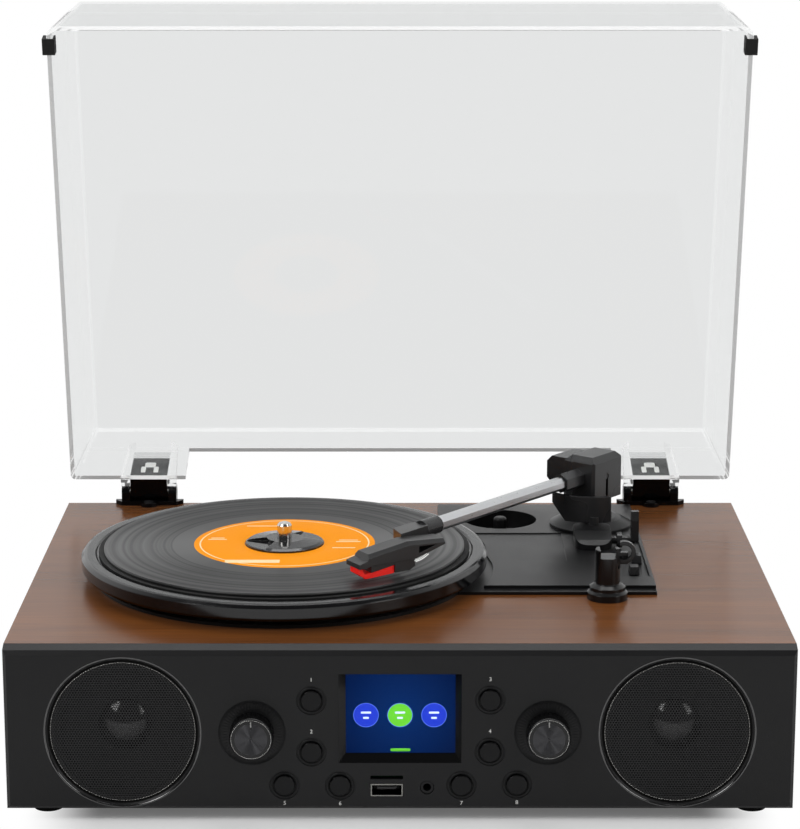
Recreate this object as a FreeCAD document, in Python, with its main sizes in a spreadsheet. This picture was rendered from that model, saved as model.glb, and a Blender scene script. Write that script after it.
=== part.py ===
"""Record player with a built-in radio: wooden plinth, black front with two speakers, screen and
knobs, belt-driven platter with a small record, straight tonearm and a hinged clear lid.

Millimetres. X runs to the right, Y to the back, Z up. Heights and depths of the pieces are given
from the deck: the top face and the front top edge of the wooden plinth. deck_y and deck_z carry
the deck into the part's own frame, whose origin lies under the middle of the whole, on the table.
"""
import FreeCAD, Part
import math
import os
import re

import Sketcher
from FreeCAD import Placement, Rotation, Vector

doc = FreeCAD.newDocument("record_player")
sheet = doc.addObject("Spreadsheet::Sheet", "dims")
pieces = []

# Driving dimensions, in millimetres and degrees
DIMENSIONS = {
    # Plinth
    "width": 355, "wood_depth": 248, "board": 9, "body_height": 76.4, "foot_height": 6,
    "deck_y": -137.965, "deck_z": 82.4, "floor_board": 3, "back_board": 6, "fit": 0.2,
    "foot_r": 7.5, "foot_x": 161, "foot_front": 13.5, "foot_back": 230, "foot_taper": 8,
    "screw_r": 1.45, "screw_head_r": 2.8, "screw_head": 1.8, "screw_reach": 14, "screw_x": 173,
    "screw_front": 30, "screw_mid": 124, "screw_back": 216,
    # Front panel
    "panel_depth": 6, "panel_drop": 2.3, "panel_wall": 3, "panel_rim": 4, "panel_bevel": 1.6,
    "row_z": -40, "speaker_x": 124.5, "speaker_recess_r": 33.4, "speaker_recess": 2,
    "speaker_hole_r": 30.6, "speaker_lip": 1.6, "dish_r": 15, "dish": 0.8, "bush_r": 4.2,
    "boss_x": 76, "boss_top": -14, "boss_low": -69.4, "boss_r": 3, "button_r": 4.6,
    "button_gap": 0.3, "button_dish_r": 6.8, "button_dish": 0.5, "window_x": 27.6,
    "window_top": -12.5, "window_low": -54.3, "view_left": -24.4, "view_right": 24.9,
    "view_top": -13.4, "view_low": -50.5, "usb_x": -6, "usb_z": -67.3, "usb_w": 14.4, "usb_t": 5.8,
    "card_z": -61.2, "card_w": 14.6, "card_t": 1.7, "aux_x": 12.2, "aux_z": -66, "aux_r": 3,
    "plug_r": 1.8,
    # Speakers and grilles
    "grille_r": 33.2, "grille_t": 0.8, "grille_hole": 4.3, "grille_pitch": 5.5, "grille_rings": 5,
    "flange_r": 35.5, "flange_t": 2, "flange_flat": 31.9, "cone_r": 27, "cap_r": 7.5,
    "magnet_r": 22.5, "basket_r": 20, "basket_y": 15, "speaker_deep": 27,
    # Screen, knobs, buttons and the board behind them
    "lens_t": 1.5, "lens_rim": 1.6, "module_t": 2.2, "module_rim": 2.4, "knob_x": 66.4,
    "knob_r": 10, "knob_face_r": 7.75, "knob_out": 9.6, "knob_lift": 0.8, "knob_hub_r": 5,
    "flutes": 30, "flute_deep": 0.45, "flute_w": 0.9, "shaft_r": 3, "shaft_fit": 0.05,
    "pointer_w": 0.9, "board_y": 9, "pcb": 1.6, "pcb_x": 80, "pcb_top": -11, "pcb_low": -72,
    "pot_side": 16, "pot_y": 1, "tact_side": 6, "tact_y": 4.7, "plunger_r": 1.6, "plunger_y": 3.6,
    "button_out": 0.9, "button_flange_r": 6, "button_flange": 1.2, "button_stem_r": 1.6,
    "button_stem_y": 2.7,
    # Deck plate
    "plate_t": 1.5, "plate_top": 3, "plate_right": 122, "plate_front": 75.6, "plate_step": 81.5,
    "plate_back": 233.5, "plate_left": 20, "plate_disc_r": 92, "plate_arc_r": 101.5,
    "step_left": 30, "step_right": 82, "step_front": 124, "step_back": 176, "step_deep": 0.5,
    "tray_left": 107.5, "tray_right": 120.4, "tray_front": 97, "tray_back": 164, "well_x": 52,
    "well_y": 203, "well_r": 18.8, "well_wall": 1.5, "well_deep": 8, "well_pin_r": 3.4,
    "well_pin": 4.4, "mech_hole_r": 86, "arm_hole_left": 75, "arm_hole_right": 118,
    "arm_hole_front": 101, "arm_hole_back": 214,
    # Platter, record and drive
    "platter_x": -56.2, "platter_y": 114, "platter_r": 98.4, "platter_low": 5, "platter_top": 13,
    "platter_bed": 12.2, "platter_web": 9, "platter_ring": 91, "hub_r": 12, "hub_low": 4.2,
    "drive_r": 56, "drive_wall": 3, "mat_r": 90, "mat_top": 13.4, "record_r": 87.5,
    "record_top": 15, "record_hole_r": 19.1, "adapter_r": 19, "adapter_top": 17.8,
    "adapter_edge": 15.8, "adapter_hub_r": 8.4, "adapter_floor": 16.1, "adapter_turn": 205,
    "spindle_r": 3.55, "spindle_tip": 25.6, "spindle_foot": -21.9, "spindle_fit": 0.06,
    "spindle_groove": 1.4, "bearing_r": 7, "bearing_low": -24, "bearing_flange_r": 12,
    "motor_reach": 70, "motor_angle": 135, "motor_r": 15, "motor_deep": 19, "motor_hole_r": 7,
    "pulley_r": 4.2, "pulley_low": 4.2, "pulley_top": 8.6, "axle_r": 1.5, "belt_t": 0.8,
    "belt_gap": 0.3, "belt_low": 4.5, "belt_high": 4,
    # Tonearm
    "pivot_x": 98.2, "pivot_y": 193, "arm_angle": -128.88, "arm_length": 185.6, "arm_z": 30,
    "turret_r": 21, "turret_edge": 4.4, "turret_top": 8, "turret_boss_r": 8, "turret_deep": -8,
    "post_r": 4, "yoke_flange_r": 11, "yoke_low": 8.4, "yoke_neck_r": 5, "yoke_top": 34.5,
    "trunnion_r": 1.5, "block_back": -14, "block_front": 12, "block_left": -8.5, "block_right": 10,
    "block_low": 18, "block_top": 41, "block_bevel": 3, "block_edge": 1.4, "slot_half": 1,
    "wing_left": -20, "wing_back": -9, "wing_low": 26, "wing_top": 39, "cavity_x": 7.5,
    "cavity_y": 6, "cavity_top": 36.5, "collar_r": 5, "collar_end": 27, "tube_flat": 3.25,
    "tube_bore": 2.1, "tube_start": 15, "tube_end": 138, "tube_fit": 0.1, "shell_turn": -18.8,
    "shell_rear": -43, "shell_nose": 4, "shell_half": 6, "shell_bevel": 1.6, "brace": 1.8,
    "shell_top_rear": 30.2, "shell_top": 31.6, "shell_ridge": -23, "shell_brow": 28.4, "brow_x": -1.5,
    "shell_low": 23, "socket_start": 128.6, "socket_end": 161.5, "socket_half": 4.8, "socket_low": 26.2,
    "socket_top": 33, "socket_ring": 4.3, "socket_rear": 139.5, "cart_rear": -27, "cart_front": -3,
    "cart_half": 4.8, "cart_low": 17.6,
    "stylus_rear": -16, "stylus_front": 3.2, "stylus_half": 3.8, "stylus_low": 16.6, "tip_z": 15.4,
    # Arm lift and its lever, arm rest, switches
    "lift_r": 27, "lift_t": 2, "lift_low": 11, "lift_top": 24.3, "lift_from": 219.6,
    "lift_to": 288.6, "lift_stem_r": 2.5, "lift_stem_low": -6, "lift_notch": 7, "cue_left": 87.5,
    "cue_right": 106, "cue_front": 143, "cue_back": 170.6, "cue_top": 10, "cue_nose": 7.6,
    "cue_round": 6, "lever_y": 152, "lever_z": 8.6, "lever_shaft_r": 2, "lever_x": 117.5,
    "lever_half": 1.9, "lever_top": 21, "lever_root": 4.8, "lever_tip": 3.2, "sector_r": 6.3,
    "sector_left": 108.6, "sector_t": 2.6, "rest_x": 98, "rest_y": 71, "rest_base_r": 9.7,
    "rest_post_r": 5.9, "rest_top": 24, "rest_slot": 3.7, "rest_cradle": 20.4, "lug_right": 9.4,
    "lug_half": 1.6, "lug_low": 16.6, "lug_top": 22.2, "clip_x": 7.4, "clip_z": 19.6,
    "clip_pin_r": 1, "clip_t": 3, "clip_r": 5.4, "clip_wall": 1.9, "speed_x": 113.5, "speed_y": 106,
    "speed_travel": 8, "stop_x": 116.4, "stop_y": 126, "stop_travel": 5, "slider_half": 2.5,
    "slider_long": 3.4, "slider_top": 5.4, "slider_gap": 0.4, "slider_stem": 1.3,
    # Lid and hinges
    "lid_angle": -78, "axis_y": 247, "axis_z": 6.5, "lid_half": 175, "lid_rear": -10,
    "lid_front": -259, "lid_rim": -5.5, "lid_top": 48.5, "lid_wall": 2.2, "lid_draft": 7,
    "lid_draft_rear": 4, "lid_draft_front": 3, "lid_corner": 5.5, "lid_corner_rear": 2.6,
    "notch_half": 114, "notch_top": 24, "hinge_x": 134, "hinge_half": 18, "sleeve_out": 5,
    "sleeve_in": 13.2, "sleeve_base": -3.6, "sleeve_low": 14.8, "sleeve_half": 13,
    "sleeve_cut": 3.4, "pocket_top": 33, "slot_top": 25, "leaf_half": 9.7, "leaf_near": -7.2,
    "leaf_far": -9.1, "leaf_top": 18.5, "leaf_step": 2.4, "barrel_r": 3.9, "barrel_half": 9.9,
    "ear_out": 14.6, "ear_w": 4.3, "ear_r": 4, "lug_r": 4.6, "lug_y": 242.2, "hinge_plate": 2.2,
    "pin_r": 1.5, "bumper_s": -248.5, "bumper_half": 4.2, "bumper_in": 2.6, "bumper_out": 3.6,
    "bumper_low": -6.3, "bumper_top": 0.6, "bumper_slot": 1.7, "bumper_bevel": 0.6,
    # Inside and back
    "main_half": 60, "main_front": 120, "main_back": 200, "standoff": 3, "chip": 10,
    "heat_sink": 22, "rca_x": 96, "rca_step": 14, "rca_z": -38, "rca_r": 4.15, "rca_bore": 1.7,
    "rca_out": 8, "dc_x": 140, "dc_r": 5.4, "dc_bore": 2.9, "dc_pin": 1, "dc_deep": 12,
}

for row, (alias, value) in enumerate(DIMENSIONS.items(), start=1):
    sheet.set("A%d" % row, alias)
    sheet.set("B%d" % row, str(value))
    sheet.setAlias("B%d" % row, alias)
doc.recompute()


# Small helpers for expressions, sketches and features

def link(text):
    """Write the sheet's name before each alias of an expression."""
    return re.sub(r"[a-z]\w*", lambda m: "dims." + m[0] if m[0] in DIMENSIONS else m[0], str(text))


def val(text):
    """The number that an expression gives now."""
    return float(sheet.evalExpression(link(text)))


def piece(label, x=0, y=0, z=0, axis=None, angle=0):
    """A body placed at a point of the deck, turned about one axis where the piece stands askew."""
    made = doc.addObject("PartDesign::Body", label)
    made.Label = label
    if axis is not None:
        made.Placement = Placement(Vector(), Rotation(axis, val(angle)))
        made.setExpression("Placement.Rotation.Angle", link(angle))
    made.setExpression("Placement.Base.x", link(x))
    made.setExpression("Placement.Base.y", link("(%s) + deck_y" % y))
    made.setExpression("Placement.Base.z", link("(%s) + deck_z" % z))
    pieces.append(made)
    return made


def sketch(body, plane, lift=0):
    """A sketch on one of the body's own planes, moved along the plane's normal."""
    made = body.newObject("Sketcher::SketchObject", body.Name + "_sketch")
    made.AttachmentSupport = [(p, "") for p in body.Origin.OriginFeatures if p.Role == plane + "_Plane"]
    made.MapMode = "FlatFace"
    made.setExpression("AttachmentOffset.Base.z", link(lift))
    return made


def hold(target, kind, expression, *where):
    """Add one measured constraint and bind it to its expression."""
    number = target.addConstraint(Sketcher.Constraint(kind, *where, val(expression)))
    target.setExpression("Constraints[%d]" % number, link(expression))


def pin_point(target, index, point, x, y):
    hold(target, "DistanceX", x, -1, 1, index, point)
    hold(target, "DistanceY", y, -1, 1, index, point)


def ring(target, radius, x=0, y=0):
    """A circle."""
    middle = Vector(val(x), val(y), 0)
    index = target.addGeometry(Part.Circle(middle, Vector(0, 0, 1), val(radius)), False)
    hold(target, "Radius", radius, index)
    pin_point(target, index, 3, x, y)


def loop(target, points):
    """A closed line through the points, each corner bound to its two expressions."""
    spots = [Vector(val(x), val(y), 0) for x, y in points]
    first = target.GeometryCount
    count = len(spots)
    for i in range(count):
        target.addGeometry(Part.LineSegment(spots[i], spots[(i + 1) % count]), False)
    for i in range(count):
        target.addConstraint(Sketcher.Constraint("Coincident", first + i, 2, first + (i + 1) % count, 1))
        pin_point(target, first + i, 1, *points[i])


def box(target, left, low, right, high):
    """A rectangle given by its sides."""
    loop(target, [(left, low), (right, low), (right, high), (left, high)])


def rounded_box(target, left, low, right, high, radius, upper=None):
    """A rectangle with round corners: four sides joined by quarter circles; the upper two may differ."""
    names = [("(%s)" % left, "(%s)" % low), ("(%s)" % right, "(%s)" % low),
             ("(%s)" % right, "(%s)" % high), ("(%s)" % left, "(%s)" % high)]
    signs = [(1, 1), (-1, 1), (-1, -1), (1, -1)]
    radii = [radius, radius, upper or radius, upper or radius]
    first = target.GeometryCount
    for corner, ((x, y), (sx, sy), size) in enumerate(zip(names, signs, radii)):
        middle = ("%s + %d * (%s)" % (x, sx, size), "%s + %d * (%s)" % (y, sy, size))
        circle = Part.Circle(Vector(val(middle[0]), val(middle[1]), 0), Vector(0, 0, 1), val(size))
        begin = math.radians(180 + 90 * corner)
        index = target.addGeometry(Part.ArcOfCircle(circle, begin, begin + math.pi / 2), False)
        hold(target, "Radius", size, index)
        pin_point(target, index, 3, *middle)
    for i in range(4):
        here, there = first + i, first + (i + 1) % 4
        ends = target.getPoint(here, 2), target.getPoint(there, 1)
        side = target.addGeometry(Part.LineSegment(*ends), False)
        target.addConstraint(Sketcher.Constraint("Tangent", here, 2, side, 1))
        target.addConstraint(Sketcher.Constraint("Tangent", side, 2, there, 1))


def stirrup(target, x, y, radius, low):
    """A round-topped upright: a half circle about its point and two straight sides down to a level."""
    circle = Part.Circle(Vector(val(x), val(y), 0), Vector(0, 0, 1), val(radius))
    arc = target.addGeometry(Part.ArcOfCircle(circle, 0, math.pi), False)
    hold(target, "Radius", radius, arc)
    pin_point(target, arc, 3, x, y)
    feet = [Vector(val("%s + %d * %s" % (x, way, radius)), val(low), 0) for way in (1, -1)]
    right = target.addGeometry(Part.LineSegment(feet[0], target.getPoint(arc, 1)), False)
    left = target.addGeometry(Part.LineSegment(target.getPoint(arc, 2), feet[1]), False)
    base = target.addGeometry(Part.LineSegment(feet[1], feet[0]), False)
    target.addConstraint(Sketcher.Constraint("Tangent", right, 2, arc, 1))
    target.addConstraint(Sketcher.Constraint("Tangent", arc, 2, left, 1))
    target.addConstraint(Sketcher.Constraint("Coincident", left, 2, base, 1))
    target.addConstraint(Sketcher.Constraint("Coincident", base, 2, right, 1))
    pin_point(target, base, 1, "%s - %s" % (x, radius), low)
    hold(target, "DistanceY", low, -1, 1, base, 2)


def pad(body, profile, length, middle=False, back=False, taper=0):
    made = body.newObject("PartDesign::Pad", body.Name + "_pad")
    made.Profile = profile
    made.setExpression("Length", link(length))
    made.setExpression("TaperAngle", link(taper))
    made.SideType = "Symmetric" if middle else "One side"
    made.Reversed = back
    body.Tip = made
    doc.recompute()
    return made


def cut(body, profile, depth, middle=False, ahead=False):
    """Pocket a sketch, against its normal or ahead along it, and make sure that it took something away."""
    before = body.Shape.Volume
    made = body.newObject("PartDesign::Pocket", body.Name + "_cut")
    made.Profile = profile
    made.setExpression("Length", link(depth))
    made.SideType = "Symmetric" if middle else "One side"
    made.Reversed = ahead
    body.Tip = made
    doc.recompute()
    if not body.Shape.Volume < before - 1e-6:
        raise RuntimeError("%s: the cut takes nothing away" % body.Label)
    return made


def spin(body, points, plane="XZ", axis="V_Axis"):
    """Turn a profile into a round piece: about Z on the XZ plane, about Y on the YZ plane."""
    profile = sketch(body, plane)
    loop(profile, points)
    made = body.newObject("PartDesign::Revolution", body.Name + "_spin")
    made.Profile = profile
    made.ReferenceAxis = (profile, [axis])
    made.Angle = 360
    body.Tip = made
    doc.recompute()
    return made


def spin_y(body, points):
    return spin(body, points, "YZ", "H_Axis")


def loft(body, kind, profiles):
    made = body.newObject(kind, body.Name + "_loft")
    made.Profile = profiles[0]
    made.Sections = profiles[1:]
    made.Ruled = True
    body.Tip = made
    doc.recompute()
    return made


def chosen(body, test):
    """Names of the body's edges whose two ends both pass a test on their point."""
    names = []
    shape = body.Tip.Shape
    for number, edge in enumerate(shape.Edges, start=1):
        if all(test(vertex.Point) for vertex in edge.Vertexes):
            names.append("Edge%d" % number)
    return names


def dress(body, kind, size, test):
    """Fillet or chamfer the chosen edges."""
    base = body.Tip
    names = chosen(body, test)
    made = body.newObject("PartDesign::" + kind, body.Name + "_edge")
    made.Base = (base, names)
    made.setExpression("Radius" if kind == "Fillet" else "Size", link(size))
    body.Tip = made
    doc.recompute()
    if "Invalid" in made.State:
        raise RuntimeError("%s: no %s on %s" % (body.Label, kind, names))
    return made


def near(a, b):
    return abs(a - b) < 1e-4


BUTTONS = {
    "power_button": (-39.7, -24.8), "mode_button": (-39.8, -49.1),
    "menu_button": (40.4, -24.5), "preset_button": (40.4, -48.9),
    "playback_button": (-52, -64.8), "record_button": (-27, -65),
    "alarm_button": (27.7, -64.8), "scan_button": (52.7, -64.5),
}
SIDES = {"left": -1, "right": 1}
HALF = "width / 2"


# Plinth

def wood_cabinet():
    """Top and sides folded from one veneered board, open below, in front and behind."""
    body = piece("wood_cabinet")
    low = "-body_height + floor_board"
    profile = sketch(body, "XZ", "-wood_depth")
    loop(profile, [("-" + HALF, low), ("-" + HALF, 0), (HALF, 0), (HALF, low), (HALF + " - board", low),
                   (HALF + " - board", "-board"), ("-width / 2 + board", "-board"),
                   ("-width / 2 + board", low)])
    pad(body, profile, "wood_depth")
    holes = sketch(body, "XY")
    ring(holes, "mech_hole_r", "platter_x", "platter_y")
    ring(holes, "well_r + well_wall + 0.5", "well_x", "well_y")
    box(holes, "arm_hole_left", "arm_hole_front", "arm_hole_right", "arm_hole_back")
    cut(body, holes, "board")
    pilots = sketch(body, "XY", low)
    for side in (-1, 1):
        for y in ("screw_front", "screw_mid", "screw_back"):
            ring(pilots, "screw_r + shaft_fit", "%d * screw_x" % side, y)
    cut(body, pilots, "screw_reach", ahead=True)


def bottom_cover():
    """Floor of the plinth, screwed up into the sides, with posts for the main board."""
    body = piece("bottom_cover", z="-body_height")
    plate = sketch(body, "XY")
    box(plate, "-width / 2 + fit", "fit", "width / 2 - fit", "wood_depth")
    for side in (-1, 1):
        for y in ("screw_front", "screw_mid", "screw_back"):
            ring(plate, "screw_r + 0.2", "%d * screw_x" % side, y)
    pad(body, plate, "floor_board")
    posts = sketch(body, "XY", "floor_board")
    for side in (-1, 1):
        for y in ("main_front + 5", "main_back - 5"):
            ring(posts, "boss_r", "%d * (main_half - 5)" % side, y)
    pad(body, posts, "standoff")


def feet():
    body = piece("feet", z="-body_height")
    discs = sketch(body, "XY")
    for side in (-1, 1):
        for y in ("foot_front", "foot_back"):
            ring(discs, "foot_r", "%d * foot_x" % side, y)
    pad(body, discs, "foot_height", back=True, taper="-foot_taper")


def case_screws():
    body = piece("case_screws", z="-body_height")
    for radius, length, down in (("screw_head_r", "screw_head", True), ("screw_r", "screw_reach", False)):
        discs = sketch(body, "XY")
        for side in (-1, 1):
            for y in ("screw_front", "screw_mid", "screw_back"):
                ring(discs, radius, "%d * screw_x" % side, y)
        pad(body, discs, length, back=down)


def rear_panel():
    """Back of the plinth, let in between the sides, with holes for the sockets and vent slots."""
    body = piece("rear_panel", y="wood_depth - back_board")
    plate = sketch(body, "XZ")
    box(plate, "-width / 2 + board + fit", "-body_height + floor_board", "width / 2 - board - fit",
        "-board")
    ring(plate, "rca_r + fit", "rca_x", "rca_z")
    ring(plate, "rca_r + fit", "rca_x + rca_step", "rca_z")
    ring(plate, "dc_r + fit", "dc_x", "rca_z")
    for slot in range(6):
        left = -150 + 9 * slot
        box(plate, left, "rca_z - 12", left + 3, "rca_z + 12")
    pad(body, plate, "back_board", back=True)


# Front

def front_panel():
    """Moulded front: bevelled top, hollow back, and every opening of the speakers and controls."""
    body = piece("front_panel")
    side = sketch(body, "YZ")
    loop(side, [(0, 0), ("-panel_depth", "-panel_drop"), ("-panel_depth", "-body_height"),
                (0, "-body_height")])
    pad(body, side, "width", middle=True)
    dress(body, "Chamfer", "panel_bevel",
          lambda p: near(abs(p.x), val(HALF)) and near(p.y, -val("panel_depth")))
    back = sketch(body, "XZ")
    box(back, "-width / 2 + panel_rim", "-body_height + panel_rim",
        "width / 2 - panel_rim", "-panel_drop - panel_rim")
    cut(body, back, "panel_depth - panel_wall", ahead=True)
    bosses = sketch(body, "XZ", "panel_wall")
    for sign in SIDES.values():
        for z in ("boss_top", "boss_low"):
            ring(bosses, "boss_r", "%d * boss_x" % sign, z)
    pad(body, bosses, "board_y + panel_wall", back=True)

    front = sketch(body, "XZ", "panel_depth")
    for sign in SIDES.values():
        ring(front, "speaker_recess_r", "%d * speaker_x" % sign, "row_z")
    cut(body, front, "speaker_recess")
    for sign in SIDES.values():
        rims = []
        for lift, grow in (("panel_depth", "speaker_lip"), ("panel_depth - speaker_lip", "0")):
            rim = sketch(body, "XZ", lift)
            ring(rim, "speaker_recess_r + " + grow, "%d * speaker_x" % sign, "row_z")
            rims.append(rim)
        loft(body, "PartDesign::SubtractiveLoft", rims)
    dishes = sketch(body, "XZ", "panel_depth")
    for sign in SIDES.values():
        ring(dishes, "dish_r", "%d * knob_x" % sign, "row_z")
    cut(body, dishes, "dish")
    rounds = sketch(body, "XZ", "panel_depth")
    for x, z in BUTTONS.values():
        ring(rounds, "button_dish_r", x, z)
    cut(body, rounds, "button_dish")

    through = sketch(body, "XZ", "panel_depth")
    for sign in SIDES.values():
        ring(through, "speaker_hole_r", "%d * speaker_x" % sign, "row_z")
        ring(through, "bush_r + fit", "%d * knob_x" % sign, "row_z")
    for x, z in BUTTONS.values():
        ring(through, "button_r + button_gap", x, z)
    box(through, "usb_x - usb_w / 2 - fit", "usb_z - usb_t / 2 - fit",
        "usb_x + usb_w / 2 + fit", "usb_z + usb_t / 2 + fit")
    box(through, "usb_x - card_w / 2", "card_z - card_t / 2", "usb_x + card_w / 2", "card_z + card_t / 2")
    ring(through, "aux_r + fit", "aux_x", "aux_z")
    cut(body, through, "panel_depth")

    outer = sketch(body, "XZ", "panel_depth")
    box(outer, "-window_x", "window_low", "window_x", "window_top")
    inner = sketch(body, "XZ", "panel_depth - panel_wall")
    box(inner, "view_left", "view_low", "view_right", "view_top")
    loft(body, "PartDesign::SubtractiveLoft", [outer, inner])


def speaker_grille(name, sign):
    """Punched steel disc: hexagonal rings of holes cut out of one round face."""
    made = doc.addObject("Part::Feature", "speaker_grille_" + name)
    made.Label = "speaker_grille_" + name
    y_axis = Vector(0, 1, 0)
    outline = Part.Wire(Part.makeCircle(val("grille_r"), Vector(), y_axis))
    pitch, reach, rings = val("grille_pitch"), val("grille_hole / 2"), int(val("grille_rings"))
    holes = []
    for a in range(-rings, rings + 1):
        for b in range(max(-rings, -a - rings), min(rings, -a + rings) + 1):
            middle = Vector(pitch * (a + b / 2), 0, pitch * b * math.sqrt(3) / 2)
            corners = [middle + Vector(reach * math.sin(math.radians(60 * k)), 0,
                                       reach * math.cos(math.radians(60 * k))) for k in range(7)]
            holes.append(Part.makePolygon(corners))
    face = Part.Face(outline)
    face = face.cut([Part.Face(hole) for hole in holes])
    made.Shape = face.Faces[0].extrude(Vector(0, val("grille_t"), 0))
    made.Placement.Base = Vector(sign * val("speaker_x"),
                                 val("speaker_recess - panel_depth - grille_t + deck_y"),
                                 val("row_z + deck_z"))
    pieces.append(made)


def speaker(name, sign):
    """Full-range driver: flange with two flats, cone with dust cap, basket and magnet."""
    body = piece("speaker_" + name, "%d * speaker_x" % sign, "-panel_wall", "row_z")
    spin_y(body, [(9, 0), (10.5, "cap_r"), (11.4, "cap_r + 0.6"), (2.2, "cone_r"),
                  (0.8, "cone_r + 1.2"), (0, "cone_r + 2.6"), (0, "flange_r"), ("flange_t", "flange_r"),
                  ("flange_t", "cone_r + 4.2"), ("basket_y", "basket_r"), ("basket_y", "magnet_r"),
                  ("speaker_deep", "magnet_r"), ("speaker_deep", 0)])
    flats = sketch(body, "XZ")
    for way in (-1, 1):
        ends = sorted(("%d * flange_flat" % way, "%d * (flange_r + 1)" % way), key=val)
        box(flats, "-flange_r", ends[0], "flange_r", ends[1])
    cut(body, flats, "speaker_deep")


def display_lens():
    body = piece("display_lens", y="-panel_wall")
    sheet_outline = sketch(body, "XZ")
    box(sheet_outline, "view_left - lens_rim", "view_low - lens_rim",
        "view_right + lens_rim", "view_top + lens_rim")
    pad(body, sheet_outline, "lens_t", back=True)


def display_module():
    body = piece("display_module", y="-panel_wall + lens_t")
    outline = sketch(body, "XZ")
    box(outline, "view_left - module_rim", "view_low - module_rim",
        "view_right + module_rim", "view_top + module_rim")
    pad(body, outline, "module_t", back=True)


def knob(label, sign):
    """Fluted knob: spun face with a centre dimple, hollow back, hub bored for the shaft."""
    body = piece(label, "%d * knob_x" % sign, "-panel_depth", "row_z")
    bore = "shaft_r + shaft_fit"
    spin_y(body, [("-knob_out + 2.2", 0), ("-knob_out + 0.5", 0), ("-knob_out", 0.9),
                  ("-knob_out", "knob_face_r - 0.5"), ("-knob_out + 0.5", "knob_face_r"),
                  ("-knob_out + 0.9", "knob_face_r + 0.9"), ("-knob_out + 2", "knob_r - 0.5"),
                  ("-knob_lift", "knob_r"), ("-knob_lift", "knob_r - 1.6"),
                  ("-knob_lift - 2", "knob_r - 1.6"), ("-knob_lift - 2", "knob_hub_r"),
                  ("-knob_lift", "knob_hub_r"), ("-knob_lift", bore), ("-knob_out + 2.2", bore)])
    groove = sketch(body, "XZ", "knob_lift")
    loop(groove, [("-flute_w / 2", "knob_r + 0.2"), ("flute_w / 2", "knob_r + 0.2"),
                  (0, "knob_r - flute_deep")])
    flute = cut(body, groove, "knob_out - knob_lift - 1.4", ahead=True)
    around = body.newObject("PartDesign::PolarPattern", body.Name + "_flutes")
    around.Originals = [flute]
    around.Axis = (groove, ["N_Axis"])
    around.Angle = 360
    around.setExpression("Occurrences", link("flutes"))
    body.Tip = around
    doc.recompute()
    pointer = sketch(body, "XZ", "knob_out")
    box(pointer, "-pointer_w / 2", "knob_face_r - 3", "pointer_w / 2", "knob_face_r - 0.6")
    cut(body, pointer, 0.4)


def knob_shaft(label, sign):
    body = piece(label, "%d * knob_x" % sign, "-panel_depth", "row_z")
    spin_y(body, [("-knob_out + 2.3", 0), ("-knob_out + 2.3", "shaft_r"), ("panel_depth + 0.5", "shaft_r"),
                  ("panel_depth + 0.5", 0)])


def button(label, x, z):
    """Push button: slightly hollow face, guide collar behind the panel and a stem to its switch."""
    body = piece(label, x, "-panel_depth", z)
    collar = "panel_depth - panel_wall + 0.1"
    stem = "panel_depth + button_stem_y"
    spin_y(body, [("-button_out + 0.25", 0), ("-button_out", "button_r - 1"),
                  ("-button_out + 0.35", "button_r"), (collar, "button_r"), (collar, "button_flange_r"),
                  (collar + " + button_flange", "button_flange_r"),
                  (collar + " + button_flange", "button_stem_r"), (stem, "button_stem_r"), (stem, 0)])


def control_board():
    """Board behind the front with two rotary controls, eight switches and a card socket soldered on."""
    body = piece("control_board", y="board_y")
    plate = sketch(body, "XZ")
    box(plate, "-pcb_x", "pcb_low", "pcb_x", "pcb_top")
    pad(body, plate, "pcb", back=True)
    rotary = sketch(body, "XZ")
    for sign in SIDES.values():
        box(rotary, "%d * knob_x - pot_side / 2" % sign, "row_z - pot_side / 2",
            "%d * knob_x + pot_side / 2" % sign, "row_z + pot_side / 2")
    pad(body, rotary, "board_y - pot_y")
    bushes = sketch(body, "XZ")
    for sign in SIDES.values():
        ring(bushes, "bush_r", "%d * knob_x" % sign, "row_z")
    pad(body, bushes, "board_y + panel_wall + 1.6")
    bores = sketch(body, "XZ", "board_y + panel_wall + 1.6")
    for sign in SIDES.values():
        ring(bores, "shaft_r + shaft_fit", "%d * knob_x" % sign, "row_z")
    cut(body, bores, "panel_wall + 1.6 + 2")
    switches = sketch(body, "XZ")
    for x, z in BUTTONS.values():
        box(switches, "%s - tact_side / 2" % x, "%s - tact_side / 2" % z,
            "%s + tact_side / 2" % x, "%s + tact_side / 2" % z)
    pad(body, switches, "board_y - tact_y")
    plungers = sketch(body, "XZ")
    for x, z in BUTTONS.values():
        ring(plungers, "plunger_r", x, z)
    pad(body, plungers, "board_y - plunger_y")
    socket = sketch(body, "XZ")
    box(socket, "usb_x - card_w / 2 - 0.6", "card_z - 1.8", "usb_x + card_w / 2 + 0.6", "card_z + 1.8")
    pad(body, socket, "board_y + panel_wall - 0.4")
    slot = sketch(body, "XZ", "board_y + panel_wall - 0.4")
    box(slot, "usb_x - card_w / 2", "card_z - card_t / 2", "usb_x + card_w / 2", "card_z + card_t / 2")
    cut(body, slot, "board_y")


def usb_port():
    """Steel shell of the socket with the contact tongue inside."""
    body = piece("usb_port", "usb_x", "board_y", "usb_z")
    reach = "board_y + panel_depth - fit"
    shell = sketch(body, "XZ")
    box(shell, "-usb_w / 2", "-usb_t / 2", "usb_w / 2", "usb_t / 2")
    pad(body, shell, reach)
    mouth = sketch(body, "XZ", reach)
    box(mouth, "-usb_w / 2 + 0.5", "-usb_t / 2 + 0.5", "usb_w / 2 - 0.5", "usb_t / 2 - 0.5")
    cut(body, mouth, "board_y + 2")
    tongue = sketch(body, "XZ", "2")
    box(tongue, "-usb_w / 2 + 1.4", 0.1, "usb_w / 2 - 1.4", 1.5)
    pad(body, tongue, "board_y + 2")


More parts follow.
